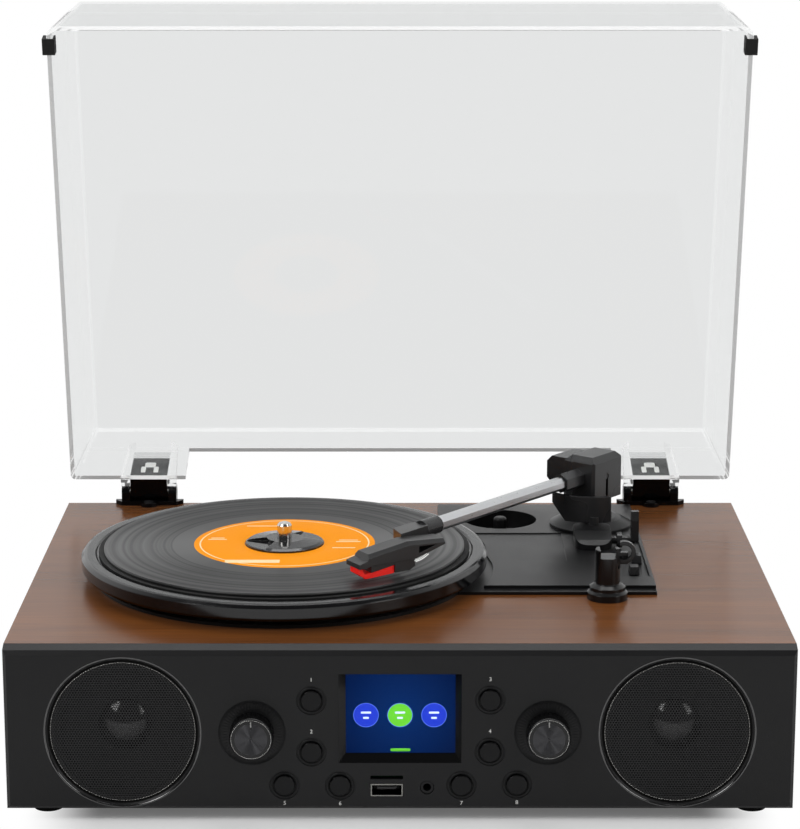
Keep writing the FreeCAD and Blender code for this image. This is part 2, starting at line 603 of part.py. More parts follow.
def aux_jack():
    body = piece("aux_jack", "aux_x", 0, "aux_z")
    spin_y(body, [("-panel_depth + 0.4", "plug_r"), ("-panel_depth + 0.4", "aux_r"),
                  ("-panel_wall + 0.1", "aux_r"), ("-panel_wall + 0.1", "aux_r + 1.4"),
                  ("board_y", "aux_r + 1.4"), ("board_y", 0), ("board_y - 1", 0),
                  ("board_y - 1", "plug_r")])


# Deck plate, platter and drive

def chassis_plate():
    """Plate let into the deck: low disc under the platter, raised right part with tray and well."""
    body = piece("chassis_plate")
    disc = sketch(body, "XY")
    ring(disc, "plate_disc_r", "platter_x", "platter_y")
    pad(body, disc, "plate_t")
    right = sketch(body, "XY")
    box(right, "plate_left", "plate_front", "plate_right", "plate_back")
    pad(body, right, "plate_t")
    cup = sketch(body, "XY")
    ring(cup, "well_r + well_wall", "well_x", "well_y")
    pad(body, cup, "well_deep", back=True)
    upper = sketch(body, "XY", "plate_t")
    box(upper, "plate_left", "plate_step", "plate_right", "plate_back")
    pad(body, upper, "plate_top - plate_t")
    around = sketch(body, "XY", "plate_top")
    ring(around, "plate_arc_r", "platter_x", "platter_y")
    cut(body, around, "plate_top - plate_t")
    shallow = sketch(body, "XY", "plate_top")
    box(shallow, "step_left", "step_front", "step_right", "step_back")
    cut(body, shallow, "step_deep")
    tray = sketch(body, "XY", "plate_top")
    box(tray, "tray_left", "tray_front", "tray_right", "tray_back")
    cut(body, tray, "plate_top - plate_t")
    well = sketch(body, "XY", "plate_top")
    ring(well, "well_r", "well_x", "well_y")
    cut(body, well, "plate_top + well_deep - well_wall")
    holes = sketch(body, "XY", "plate_top")
    ring(holes, "bearing_r + shaft_fit", "platter_x", "platter_y")
    ring(holes, "motor_hole_r", "platter_x + motor_reach * cos(motor_angle)",
         "platter_y + motor_reach * sin(motor_angle)")
    ring(holes, "turret_boss_r + 0.1", "pivot_x", "pivot_y")
    ring(holes, "lift_stem_r + 0.5", "pivot_x", "pivot_y - lift_r + lift_t / 2")
    ring(holes, "rest_base_r + fit", "rest_x", "rest_y")
    for x, y, travel in (("speed_x", "speed_y", "speed_travel"), ("stop_x", "stop_y", "stop_travel")):
        box(holes, x + " - slider_stem - slider_gap", y + " - slider_stem - slider_gap",
            x + " + slider_stem + slider_gap", "%s + %s + slider_stem + slider_gap" % (y, travel))
    cut(body, holes, "plate_top")
    pin = sketch(body, "XY", "well_wall - well_deep")
    ring(pin, "well_pin_r", "well_x", "well_y")
    pad(body, pin, "well_deep - well_wall + well_pin")
    dress(body, "Fillet", "well_pin_r / 2", lambda p: near(p.z, val("well_pin")))


def platter():
    body = piece("platter", "platter_x", "platter_y")
    bore = "spindle_r + spindle_fit"
    spin(body, [(bore, "hub_low"), ("hub_r", "hub_low"), ("hub_r", "platter_web"),
                ("drive_r - drive_wall", "platter_web"), ("drive_r - drive_wall", "hub_low"),
                ("drive_r", "hub_low"), ("drive_r", "platter_web"), ("platter_r - 6", "platter_web"),
                ("platter_r - 4", "platter_low"), ("platter_r - 1.2", "platter_low"),
                ("platter_r", "platter_low + 1.4"), ("platter_r", "platter_top - 1.8"),
                ("platter_r - 1.4", "platter_top - 0.3"), ("platter_r - 2.6", "platter_top"),
                ("platter_ring + 0.8", "platter_top"), ("platter_ring", "platter_bed"),
                (bore, "platter_bed")])


def slip_mat():
    body = piece("slip_mat", "platter_x", "platter_y")
    bore = "spindle_r + spindle_fit"
    spin(body, [(bore, "platter_bed"), ("mat_r", "platter_bed"), ("mat_r", "mat_top"), (bore, "mat_top")])


def record():
    body = piece("record", "platter_x", "platter_y")
    spin(body, [("record_hole_r", "mat_top"), ("record_r - 0.4", "mat_top"),
                ("record_r", "mat_top + 0.5"), ("record_r", "record_top - 0.5"),
                ("record_r - 0.5", "record_top"), ("record_hole_r", "record_top")])


def adapter_45():
    """Centre adapter: low dome with a hub, sunk over two opposite sectors for the fingers."""
    body = piece("adapter_45", "platter_x", "platter_y", 0, Vector(0, 0, 1), "adapter_turn")
    bore = "spindle_r + spindle_fit"
    spin(body, [(bore, "mat_top"), ("adapter_r", "mat_top"), ("adapter_r", "adapter_edge"),
                ("adapter_r - 1.5", "adapter_edge + 0.9"), ("adapter_r / 2", "adapter_top"),
                (bore, "adapter_top")])
    fingers = sketch(body, "XY", "adapter_top")
    reach = "2 * adapter_r"
    for way in (-1, 1):
        loop(fingers, [("%d * 1" % way, 0), ("%d * %s" % (way, reach), "%d * adapter_r" % -way),
                       ("%d * %s" % (way, reach), "%d * 1.6 * adapter_r" % way)])
    cut(body, fingers, "adapter_top - adapter_floor")
    hub = sketch(body, "XY", "adapter_floor")
    ring(hub, "adapter_hub_r")
    ring(hub, bore)
    pad(body, hub, "adapter_top - adapter_floor")


def spindle():
    """Turned pin with a shallow groove at the adapter's upper face."""
    body = piece("spindle", "platter_x", "platter_y")
    spin(body, [(0, "spindle_foot"), ("spindle_r", "spindle_foot"),
                ("spindle_r", "adapter_top + 0.1 - spindle_groove"),
                ("spindle_r - 0.35", "adapter_top + 0.1 - spindle_groove"),
                ("spindle_r - 0.35", "adapter_top + 0.1"), ("spindle_r", "adapter_top + 0.1"),
                ("spindle_r", "spindle_tip - 1.6"), ("spindle_r - 0.7", "spindle_tip - 0.5"),
                ("spindle_r - 2", "spindle_tip"), (0, "spindle_tip")])


def bearing_bush():
    body = piece("bearing_bush", "platter_x", "platter_y")
    bore = "spindle_r + spindle_fit"
    spin(body, [(0, "bearing_low"), ("bearing_r", "bearing_low"), ("bearing_r", "plate_t"),
                ("bearing_flange_r", "plate_t"), ("bearing_flange_r", "plate_t + 1.2"),
                (bore, "plate_t + 1.2"), (bore, "spindle_foot - 0.1"), (0, "spindle_foot - 0.1")])


MOTOR_X = "platter_x + motor_reach * cos(motor_angle)"
MOTOR_Y = "platter_y + motor_reach * sin(motor_angle)"


def motor():
    body = piece("motor", MOTOR_X, MOTOR_Y)
    spin(body, [("axle_r + shaft_fit", 0), ("motor_r", 0), ("motor_r", "2 - motor_deep"),
                ("motor_r - 2", "-motor_deep"), (0, "-motor_deep"), (0, "-motor_deep / 2"),
                ("axle_r + shaft_fit", "-motor_deep / 2")])


def motor_pulley():
    """Crowned pulley with the motor's axle."""
    body = piece("motor_pulley", MOTOR_X, MOTOR_Y)
    spin(body, [(0, "0.2 - motor_deep / 2"), ("axle_r", "0.2 - motor_deep / 2"),
                ("axle_r", "pulley_low - 1.4"), ("pulley_r + 0.9", "pulley_low - 1.4"),
                ("pulley_r + 0.9", "pulley_low - 0.2"), ("pulley_r - 0.1", "pulley_low"),
                ("pulley_r", "(pulley_low + pulley_top) / 2"), ("pulley_r - 0.1", "pulley_top"),
                (0, "pulley_top")])


def belt_line(target, grow):
    """Belt outline about the drive ring and the pulley: two arcs joined by their outer tangents."""
    big, small = "drive_r + %s" % grow, "pulley_r + %s" % grow
    lean = math.acos(val("(drive_r - pulley_r) / motor_reach"))
    up = Vector(0, 0, 1)
    arcs = [Part.ArcOfCircle(Part.Circle(Vector(), up, val(big)), lean, 2 * math.pi - lean),
            Part.ArcOfCircle(Part.Circle(Vector(val("motor_reach"), 0, 0), up, val(small)), -lean, lean)]
    first = target.addGeometry(arcs[0], False)
    second = target.addGeometry(arcs[1], False)
    hold(target, "Radius", big, first)
    hold(target, "Radius", small, second)
    pin_point(target, first, 3, 0, 0)
    pin_point(target, second, 3, "motor_reach", 0)
    for start, end in ((first, second), (second, first)):
        ends = target.getPoint(start, 2), target.getPoint(end, 1)
        side = target.addGeometry(Part.LineSegment(*ends), False)
        target.addConstraint(Sketcher.Constraint("Tangent", start, 2, side, 1))
        target.addConstraint(Sketcher.Constraint("Tangent", side, 2, end, 1))


def drive_belt():
    body = piece("drive_belt", "platter_x", "platter_y", "belt_low", Vector(0, 0, 1), "motor_angle")
    lines = sketch(body, "XY")
    belt_line(lines, "belt_gap + belt_t")
    belt_line(lines, "belt_gap")
    pad(body, lines, "belt_high")


# Tonearm. Its frame has X along the arm from the pivot to the stylus and Y to the arm's right.

def arm_piece(label):
    return piece(label, "pivot_x", "pivot_y", 0, Vector(0, 0, 1), "arm_angle")


def arm_turret():
    body = piece("arm_turret", "pivot_x", "pivot_y")
    bore = "post_r + shaft_fit"
    spin(body, [(bore, "turret_deep"), ("turret_boss_r", "turret_deep"), ("turret_boss_r", "plate_top"),
                ("turret_r", "plate_top"), ("turret_r", "turret_edge"),
                ("turret_r - 5.5", "turret_top - 0.6"), ("turret_r - 8", "turret_top"),
                (bore, "turret_top")])


def arm_yoke():
    """Turning post with a flange; the arm tips on the two trunnions of its head."""
    body = arm_piece("arm_yoke")
    spin(body, [(0, "turret_deep + 0.5"), ("post_r", "turret_deep + 0.5"), ("post_r", "yoke_low"),
                ("yoke_flange_r", "yoke_low"), ("yoke_flange_r", "yoke_low + 1.6"),
                ("yoke_neck_r", "yoke_low + 4"), ("yoke_neck_r", "yoke_top - 1"),
                ("yoke_neck_r - 1", "yoke_top"), (0, "yoke_top")])
    pins = sketch(body, "XZ", "-block_right + 0.4")
    ring(pins, "trunnion_r", 0, "arm_z")
    pad(body, pins, "block_right - block_left - 0.8")


def arm_block():
    """Faceted housing over the yoke: bevelled box, side wing and hexagonal tube collar; its bores snap
    down over the trunnions through a narrower slot."""
    body = arm_piece("arm_block")
    main = sketch(body, "XY", "block_low")
    box(main, "block_back", "block_left", "block_front", "block_right")
    pad(body, main, "block_top - block_low")
    dress(body, "Chamfer", "block_bevel", lambda p: near(p.z, val("block_top")))
    for end in ("block_front", "block_back"):
        dress(body, "Chamfer", "block_edge",
              lambda p: near(p.x, val(end)) and near(p.y, val("block_right")))
    wing = sketch(body, "XY", "wing_low")
    box(wing, "wing_back", "wing_left", "block_front - 1", "block_left + block_bevel")
    pad(body, wing, "wing_top - wing_low")
    dress(body, "Chamfer", "block_bevel",
          lambda p: near(p.y, val("wing_left")) and near(p.z, val("wing_top")))
    dress(body, "Chamfer", "block_bevel / 2",
          lambda p: near(p.y, val("wing_left")) and near(p.z, val("wing_low")))
    collar = sketch(body, "YZ", "block_front - 1")
    corners = range(30, 390, 60)
    loop(collar, [("collar_r * cos(%d)" % a, "arm_z + collar_r * sin(%d)" % a) for a in corners])
    pad(body, collar, "collar_end - block_front + 1")
    hollow = sketch(body, "XY", "block_low")
    box(hollow, "-cavity_x", "-cavity_y", "cavity_x", "cavity_y")
    cut(body, hollow, "cavity_top - block_low", ahead=True)
    bore = sketch(body, "XZ")
    ring(bore, "trunnion_r + shaft_fit", 0, "arm_z")
    cut(body, bore, "3 * block_right", middle=True)
    entry = sketch(body, "XZ", "-block_right")
    box(entry, "-slot_half", "block_low - 1", "slot_half", "arm_z")
    cut(body, entry, "block_right - cavity_y + 0.2", ahead=True)
    seat = sketch(body, "YZ", "tube_start - 0.5")
    ring(seat, "tube_flat / cos(22.5) + tube_fit", 0, "arm_z")
    cut(body, seat, "collar_end", ahead=True)


def arm_tube():
    """Eight-sided drawn aluminium tube."""
    body = arm_piece("arm_tube")
    section = sketch(body, "YZ", "tube_start")
    across = "tube_flat / cos(22.5)"
    loop(section, [("%s * cos(%s)" % (across, a + 22.5), "arm_z + %s * sin(%s)" % (across, a + 22.5))
                   for a in range(0, 360, 45)])
    ring(section, "tube_bore", 0, "arm_z")
    pad(body, section, "tube_end - tube_start")


def shell_piece(label):
    """A piece in the headshell's frame: origin over the stylus, X towards the nose."""
    x = "pivot_x + arm_length * cos(arm_angle)"
    y = "pivot_y + arm_length * sin(arm_angle)"
    return piece(label, x, y, 0, Vector(0, 0, 1), "arm_angle + shell_turn")


def along_tube(body, reach):
    """A sketch in the headshell that stands square to the tube, at a distance from the arm's pivot."""
    made = sketch(body, "YZ")
    made.AttachmentOffset = Placement(Vector(), Rotation(Vector(0, 1, 0), -val("shell_turn")))
    short = "(%s - arm_length)" % reach
    made.setExpression("AttachmentOffset.Base.x", link("-%s * sin(shell_turn)" % short))
    made.setExpression("AttachmentOffset.Base.z", link("%s * cos(shell_turn)" % short))
    return made


def headshell():
    """Faceted shell, set askew to the arm: lipped nose, tail plate over an open brace, and a block at its
    side with a round collar for the tube."""
    body = shell_piece("headshell")
    top = [("shell_rear", "shell_top_rear"), ("shell_ridge", "shell_top"), ("brow_x", "shell_brow")]
    side = sketch(body, "XZ")
    nose = [("brow_x + 1", "shell_brow - 2.8"), ("shell_nose", "shell_brow - 4"),
            ("shell_nose", "shell_low - 0.8"), ("shell_nose - 3.5", "shell_low - 0.8")]
    under = [("cart_front", "shell_low"), ("cart_rear", "shell_low"),
             ("shell_rear", "shell_top_rear - 2.4")]
    loop(side, top + nose + under)
    pad(body, side, "2 * shell_half", middle=True)
    spots = [(val(x), val(z)) for x, z in top]
    for half in (val("shell_half"), -val("shell_half")):
        dress(body, "Chamfer", "shell_bevel",
              lambda p: near(p.y, half) and any(near(p.x, x) and near(p.z, z) for x, z in spots))
    opening = sketch(body, "XZ")
    loop(opening, [("cart_rear - 1.5", "shell_top_rear - 1.6"),
                   ("cart_rear - 1.5", "shell_low + 0.5 + brace"),
                   ("shell_rear + 4.5", "shell_top_rear - 2")])
    cut(body, opening, "3 * shell_half", middle=True)
    socket = sketch(body, "XY", "socket_low")
    askew = Rotation(Vector(0, 0, 1), -val("shell_turn"))
    socket.AttachmentOffset = Placement(Vector(0, 0, val("socket_low")), askew)
    socket.setExpression("AttachmentOffset.Base.z", link("socket_low"))
    rear, front = "socket_rear - arm_length", "socket_end - arm_length"
    loop(socket, [(rear, "1.6 - socket_half"), (rear + " + 3", "-socket_half"),
                  (front + " - 6", "-socket_half"), (front, "socket_half"),
                  (rear + " + 2", "socket_half"), (rear, "socket_half - 1.6")])
    pad(body, socket, "socket_top - socket_low")
    collar = along_tube(body, "socket_start")
    ring(collar, "socket_ring", 0, "arm_z")
    pad(body, collar, "socket_rear - socket_start + 1")
    bore = along_tube(body, "tube_end + 0.5")
    ring(bore, "tube_flat / cos(22.5) + tube_fit", 0, "arm_z")
    cut(body, bore, "tube_end")


def cartridge():
    """Pick-up body under the shell: sloping lower rear edge."""
    body = shell_piece("cartridge")
    side = sketch(body, "XZ")
    loop(side, [("cart_rear", "shell_low"), ("cart_front", "shell_low"),
                ("cart_front", "stylus_low + 2.4 + 2.4 * cart_front / stylus_rear"),
                ("stylus_rear", "stylus_low + 4.8"),
                ("stylus_rear", "cart_low"), ("cart_rear + 3", "cart_low"),
                ("cart_rear", "cart_low + 1.6")])
    pad(body, side, "2 * cart_half", middle=True)


def stylus():
    """Stylus holder: wedge with a lip at the nose, and the needle under it."""
    body = shell_piece("stylus")
    side = sketch(body, "XZ")
    loop(side, [("stylus_rear", "stylus_low + 4.6"), ("stylus_rear", "stylus_low + 0.6"),
                (-4, "stylus_low"), (-0.5, "stylus_low"), ("stylus_front", "stylus_low + 2.6"),
                ("stylus_front", "shell_low - 1"), ("stylus_front - 1.6", "shell_low - 1"),
                (0, "stylus_low + 2.2")])
    pad(body, side, "2 * stylus_half", middle=True)
    needle = []
    for height, radius in (("stylus_low + 0.4", 0.7), ("tip_z", 0.25)):
        level = sketch(body, "XY", height)
        ring(level, radius, -2, 0)
        needle.append(level)
    loft(body, "PartDesign::AdditiveLoft", needle)


# Arm lift, arm rest and switches

def arm_lifter():
    """Curved plate under the arm, round the pivot, on one sliding stem."""
    body = piece("arm_lifter", "pivot_x", "pivot_y")
    plate = sketch(body, "XY", "lift_low")
    start, end = math.radians(val("lift_from")), math.radians(val("lift_to"))
    up = Vector(0, 0, 1)
    inner = plate.addGeometry(Part.ArcOfCircle(Part.Circle(Vector(), up, val("lift_r - lift_t")), start,
                                               end), False)
    outer = plate.addGeometry(Part.ArcOfCircle(Part.Circle(Vector(), up, val("lift_r")), start, end), False)
    hold(plate, "Radius", "lift_r - lift_t", inner)
    hold(plate, "Radius", "lift_r", outer)
    for arc, radius in ((inner, "(lift_r - lift_t)"), (outer, "lift_r")):
        pin_point(plate, arc, 3, 0, 0)
        hold(plate, "DistanceX", radius + " * cos(lift_from)", -1, 1, arc, 1)
        hold(plate, "DistanceX", radius + " * cos(lift_to)", -1, 1, arc, 2)
    for point in (1, 2):
        edge = plate.addGeometry(Part.LineSegment(plate.getPoint(inner, point), plate.getPoint(outer,
                                                                                               point)),
                                 False)
        plate.addConstraint(Sketcher.Constraint("Coincident", inner, point, edge, 1))
        plate.addConstraint(Sketcher.Constraint("Coincident", outer, point, edge, 2))
    pad(body, plate, "lift_top - lift_low")
    corner = sketch(body, "XZ")
    left = "lift_r * cos(lift_from) - 1"
    loop(corner, [(left, "lift_low - 1"), ("lift_r * cos(lift_from) + lift_notch", "lift_low - 1"),
                  (left, "lift_low + 1.4 * lift_notch")])
    cut(body, corner, "2 * lift_r", middle=True)
    stem = sketch(body, "XY", "lift_stem_low")
    ring(stem, "lift_stem_r", 0, "-lift_r + lift_t / 2")
    pad(body, stem, "lift_low + 3 - lift_stem_low")


def cue_housing():
    """Lift housing: low rounded nose in front, guide bore behind, lever bearing at the side."""
    body = piece("cue_housing")
    foot = sketch(body, "XY", "plate_top")
    rounded_box(foot, "cue_left", "cue_front", "cue_right", "cue_back", "cue_round")
    pad(body, foot, "cue_top - plate_top")
    slope = sketch(body, "YZ", "cue_left - 1")
    loop(slope, [("cue_front - 1", "cue_nose - 2.6"), ("cue_front + 3", "cue_nose"),
                 ("lever_y + 4", "cue_top"), ("lever_y + 4", "cue_top + 1"),
                 ("cue_front - 1", "cue_top + 1")])
    cut(body, slope, "cue_right - cue_left + 2", ahead=True)
    guide = sketch(body, "XY", "cue_top")
    ring(guide, "lift_stem_r + shaft_fit", "pivot_x", "pivot_y - lift_r + lift_t / 2")
    cut(body, guide, "cue_top")
    bearing = sketch(body, "YZ", "cue_right")
    ring(bearing, "lever_shaft_r + shaft_fit", "lever_y", "lever_z - 2.6")
    cut(body, bearing, 4)


def cue_lever():
    """Lever on its shaft, with the round cam sector between housing and lever."""
    body = piece("cue_lever", 0, "lever_y", "lever_z - 2.6")
    shaft = sketch(body, "YZ", "cue_right - 3.6")
    ring(shaft, "lever_shaft_r")
    pad(body, shaft, "lever_x - cue_right + 3.6")
    sector = sketch(body, "YZ", "sector_left")
    ring(sector, "sector_r - 2.4", 0, 0)
    pad(body, sector, "sector_t")
    paddle = sketch(body, "YZ", "lever_x - lever_half")
    loop(paddle, [("-lever_root / 2", 0), ("lever_root / 2", 0),
                  ("lever_root / 2 + 0.4", "lever_top / 2"),
                  ("lever_tip / 2", "lever_top - lever_z + 2.6"),
                  ("-lever_tip / 2", "lever_top - lever_z + 2.6"),
                  ("-lever_root / 2 - 0.4", "lever_top / 2")])
    pad(body, paddle, "2 * lever_half")


def arm_rest():
    """Post with a stepped foot, a cradle slot across the top and a lug for the clip."""
    body = piece("arm_rest", "rest_x", "rest_y")
    spin(body, [(0, 0), ("rest_base_r", 0), ("rest_base_r", 3.2), ("rest_base_r - 1.2", 4.4),
                ("rest_base_r - 1.2", 6), ("rest_post_r + 0.8", 7.4), ("rest_post_r", 7.6),
                ("rest_post_r", "rest_top"), (0, "rest_top")])
    lug = sketch(body, "XZ", "-rest_post_r / 2")
    box(lug, "rest_post_r - 2", "lug_low", "lug_right", "lug_top")
    pad(body, lug, "2 * lug_half")
    slot = sketch(body, "XZ")
    box(slot, "-rest_slot", "rest_cradle", "rest_slot", "rest_top + 1")
    cut(body, slot, "4 * rest_post_r", middle=True)
    hole = sketch(body, "XZ")
    ring(hole, "clip_pin_r + shaft_fit", "clip_x", "clip_z")
    cut(body, hole, "4 * rest_post_r", middle=True)
    gap = sketch(body, "XZ", "-rest_post_r / 2 + 2 * lug_half")
    box(gap, "rest_slot", "clip_z - clip_r + 0.8", "2 * rest_post_r", "rest_top + 1")
    cut(body, gap, "clip_t + 0.6", ahead=True)


def arm_clip():
    """C-shaped clip that swings over the arm, on a pin in the lug."""
    body = piece("arm_clip", "rest_x + clip_x", "rest_y", "clip_z")
    face = "-rest_post_r / 2 + 2 * lug_half + 0.3"
    hook = sketch(body, "XZ", face)
    ring(hook, "clip_r", 0, "clip_r - clip_wall")
    ring(hook, "clip_r - clip_wall", 0, "clip_r - clip_wall")
    pad(body, hook, "clip_t")
    mouth = sketch(body, "XZ", face)
    box(mouth, "-clip_r - 1", "-clip_r", "-clip_wall", "2 * clip_r")
    cut(body, mouth, "clip_t", ahead=True)
    pin = sketch(body, "XZ", "-rest_post_r / 2 + 0.3")
    ring(pin, "clip_pin_r", 0, 0)
    pad(body, pin, "2 * lug_half + 0.4")


def slide_switch(label, x, y):
    body = piece(label, x, y, "plate_t + slider_gap")
    cap = sketch(body, "XY")
    box(cap, "-slider_half", "-slider_long", "slider_half", "slider_long")
    pad(body, cap, "slider_top - plate_t", taper="-9")
    stem = sketch(body, "XY")
    box(stem, "-slider_stem", "-slider_stem", "slider_stem", "slider_stem")
    pad(body, stem, "plate_t + 3", back=True)


# Lid. Its frame lies on the hinge axis: X along it, Y to the back and Z up when the lid is closed.

def lid_piece(label):
    return piece(label, 0, "axis_y", "axis_z", Vector(1, 0, 0), "lid_angle")


def dust_cover():
    """Clear moulded cover: drafted walls with round corners, open below, and two sleeves outside the
    rear wall that take the tongues of the hinges."""
    body = lid_piece("dust_cover")
    outside = []
    inside = []
    for height, draft, rear, front in (("lid_rim", 0, 0, 0),
                                       ("lid_top", "lid_draft", "lid_draft_rear", "lid_draft_front")):
        shape = sketch(body, "XY", height)
        rounded_box(shape, "-lid_half + %s" % draft, "lid_front + %s" % front,
                    "lid_half - %s" % draft, "lid_rear - %s" % rear, "lid_corner", "lid_corner_rear")
        outside.append(shape)
        hollow = sketch(body, "XY", height if draft == 0 else "lid_top - lid_wall")
        rounded_box(hollow, "-lid_half + lid_wall + %s" % draft, "lid_front + lid_wall + %s" % front,
                    "lid_half - lid_wall - %s" % draft, "lid_rear - lid_wall - %s" % rear,
                    "lid_corner - lid_wall", "lid_corner_rear - lid_wall")
        inside.append(hollow)
    loft(body, "PartDesign::AdditiveLoft", outside)
    sleeves = sketch(body, "XZ", "sleeve_out")
    for sign in SIDES.values():
        middle = "%d * hinge_x" % sign
        loop(sleeves, [(middle + " - sleeve_low", "sleeve_base"), (middle + " + sleeve_low", "sleeve_base"),
                       (middle + " + sleeve_half", "pocket_top - sleeve_cut"),
                       (middle + " + sleeve_half - sleeve_cut", "pocket_top"),
                       (middle + " - sleeve_half + sleeve_cut", "pocket_top"),
                       (middle + " - sleeve_half", "pocket_top - sleeve_cut")])
    pad(body, sleeves, "sleeve_in - sleeve_out")
    loft(body, "PartDesign::SubtractiveLoft", inside)
    slots = sketch(body, "XY", "sleeve_base")
    mouths = sketch(body, "XZ", "sleeve_out - 0.1")
    for sign in SIDES.values():
        left, right = "%d * hinge_x - leaf_half - fit" % sign, "%d * hinge_x + leaf_half + fit" % sign
        box(slots, left, "leaf_far - fit", right, "leaf_near + fit")
        box(mouths, left, "sleeve_base - 1", right, "leaf_step + 2 * fit")
    cut(body, slots, "slot_top - sleeve_base", ahead=True)
    cut(body, mouths, "-leaf_near - sleeve_out", ahead=True)
    notch = sketch(body, "XZ", "-lid_rear")
    box(notch, "-notch_half", "lid_rim - 1", "notch_half", "notch_top")
    cut(body, notch, "14", middle=True)


def lid_bumpers():
    """Rubber feet that clip over the rim near its front corners, their lower ends bevelled."""
    body = lid_piece("lid_bumpers")
    blocks = sketch(body, "XZ", "-bumper_s - bumper_half")
    for sign in SIDES.values():
        middle = "%d * (lid_half - lid_wall / 2 - 0.3)" % sign
        spread = [("bumper_in", "bumper_out"), ("bumper_out", "bumper_in")][sign < 0]
        left, right = "%s - %s" % (middle, spread[0]), "%s + %s" % (middle, spread[1])
        loop(blocks, [(left, "bumper_low"), (right, "bumper_low"), (right, "bumper_top"),
                      (middle + " + bumper_slot", "bumper_top"),
                      (middle + " + bumper_slot", "lid_rim - 0.05"),
                      (middle + " - bumper_slot", "lid_rim - 0.05"),
                      (middle + " - bumper_slot", "bumper_top"), (left, "bumper_top")])
    pad(body, blocks, "2 * bumper_half")
    lower_end = val("bumper_s + bumper_half")
    dress(body, "Chamfer", "bumper_bevel", lambda p: near(p.z, val("bumper_low")) and near(p.y, lower_end))


def hinge_bases():
    """At each side a foot plate with a round screw lug and two round-topped ears for the pin."""
    body = piece("hinge_bases")
    plate = sketch(body, "XY")
    for sign in SIDES.values():
        middle = "%d * hinge_x" % sign
        loop(plate, [(middle + " - hinge_half", "wood_depth"),
                     (middle + " - hinge_half", "wood_depth - 1.8"),
                     (middle + " - ear_out", "axis_y - 4.6"), (middle + " + ear_out", "axis_y - 4.6"),
                     (middle + " + hinge_half", "wood_depth - 1.8"),
                     (middle + " + hinge_half", "wood_depth")])
    pad(body, plate, "hinge_plate")
    lugs = sketch(body, "XY")
    for sign in SIDES.values():
        ring(lugs, "lug_r", "%d * hinge_x" % sign, "lug_y")
    pad(body, lugs, "hinge_plate")
    for sign in SIDES.values():
        for start in ("-ear_out", "ear_out - ear_w"):
            ear = sketch(body, "YZ", "%d * hinge_x + %s" % (sign, start))
            stirrup(ear, "axis_y", "axis_z", "ear_r", 0)
            pad(body, ear, "ear_w")
    bores = sketch(body, "YZ")
    ring(bores, "pin_r + shaft_fit", "axis_y", "axis_z")
    cut(body, bores, "width", middle=True)


def hinge_pins():
    body = piece("hinge_pins", 0, "axis_y", "axis_z")
    for sign in SIDES.values():
        rod = sketch(body, "YZ", "%d * hinge_x - ear_out + 0.4" % sign)
        ring(rod, "pin_r")
        pad(body, rod, "2 * ear_out - 0.8")


def hinge_leaves():
    """Barrel on the pin between the ears, a block from it to the lid and the tongue in the lid's sleeve."""
    body = lid_piece("hinge_leaves")
    for sign in SIDES.values():
        barrel = sketch(body, "YZ", "%d * hinge_x - barrel_half" % sign)
        ring(barrel, "barrel_r")
        pad(body, barrel, "2 * barrel_half")
        tongue = sketch(body, "YZ", "%d * hinge_x - leaf_half" % sign)
        loop(tongue, [(0, "-barrel_r"), ("leaf_far", "-barrel_r"), ("leaf_far", "leaf_top"),
                      ("leaf_near", "leaf_top"), ("leaf_near", "leaf_step"), (0, "leaf_step")])
        pad(body, tongue, "2 * leaf_half")
    bore = sketch(body, "YZ")
    ring(bore, "pin_r + shaft_fit")
    cut(body, bore, "width", middle=True)


# Inside and back

def main_board():
    """Amplifier and radio board on the floor's posts, with a finned heat sink and two cans."""
    body = piece("main_board", z="-body_height + floor_board + standoff")
    plate = sketch(body, "XY")
    box(plate, "-main_half", "main_front", "main_half", "main_back")
    pad(body, plate, "pcb")
    chips = sketch(body, "XY", "pcb")
    box(chips, -45, "main_front + 12", -15, "main_front + 40")
    ring(chips, 8, 42, "main_back - 16")
    ring(chips, 8, 20, "main_back - 16")
    pad(body, chips, "chip")
    sink = sketch(body, "XY", "pcb")
    for fin in range(6):
        box(sink, 6 + 6 * fin, "main_front + 10", 9 + 6 * fin, "main_front + 40")
    pad(body, sink, "heat_sink")


def line_out_sockets():
    """Pair of phono sockets on one block."""
    body = piece("line_out_sockets", "rca_x", "wood_depth - back_board", "rca_z")
    block = sketch(body, "XZ")
    box(block, "-7", "-7", "rca_step + 7", "7")
    pad(body, block, "8")
    barrels = sketch(body, "XZ")
    ring(barrels, "rca_r")
    ring(barrels, "rca_r", "rca_step")
    pad(body, barrels, "back_board + rca_out", back=True)
    bores = sketch(body, "XZ", "-back_board - rca_out")
    ring(bores, "rca_bore")
    ring(bores, "rca_bore", "rca_step")
    cut(body, bores, "back_board + rca_out", ahead=True)


def dc_inlet():
    """Barrel inlet for the supply, with its centre pin."""
    body = piece("dc_inlet", "dc_x", "wood_depth", "rca_z")
    spin_y(body, [(0.6, "dc_bore"), (0.6, "dc_r"), ("-back_board", "dc_r"), ("-back_board", "dc_r + 1.6"),
                  ("-back_board - 6", "dc_r + 1.6"), ("-back_board - 6", 0), (-1.5, 0), (-1.5, "dc_pin"),
                  ("-dc_deep + 2", "dc_pin"), ("-dc_deep + 2", "dc_bore")])


# Build everything, check it and write the parts

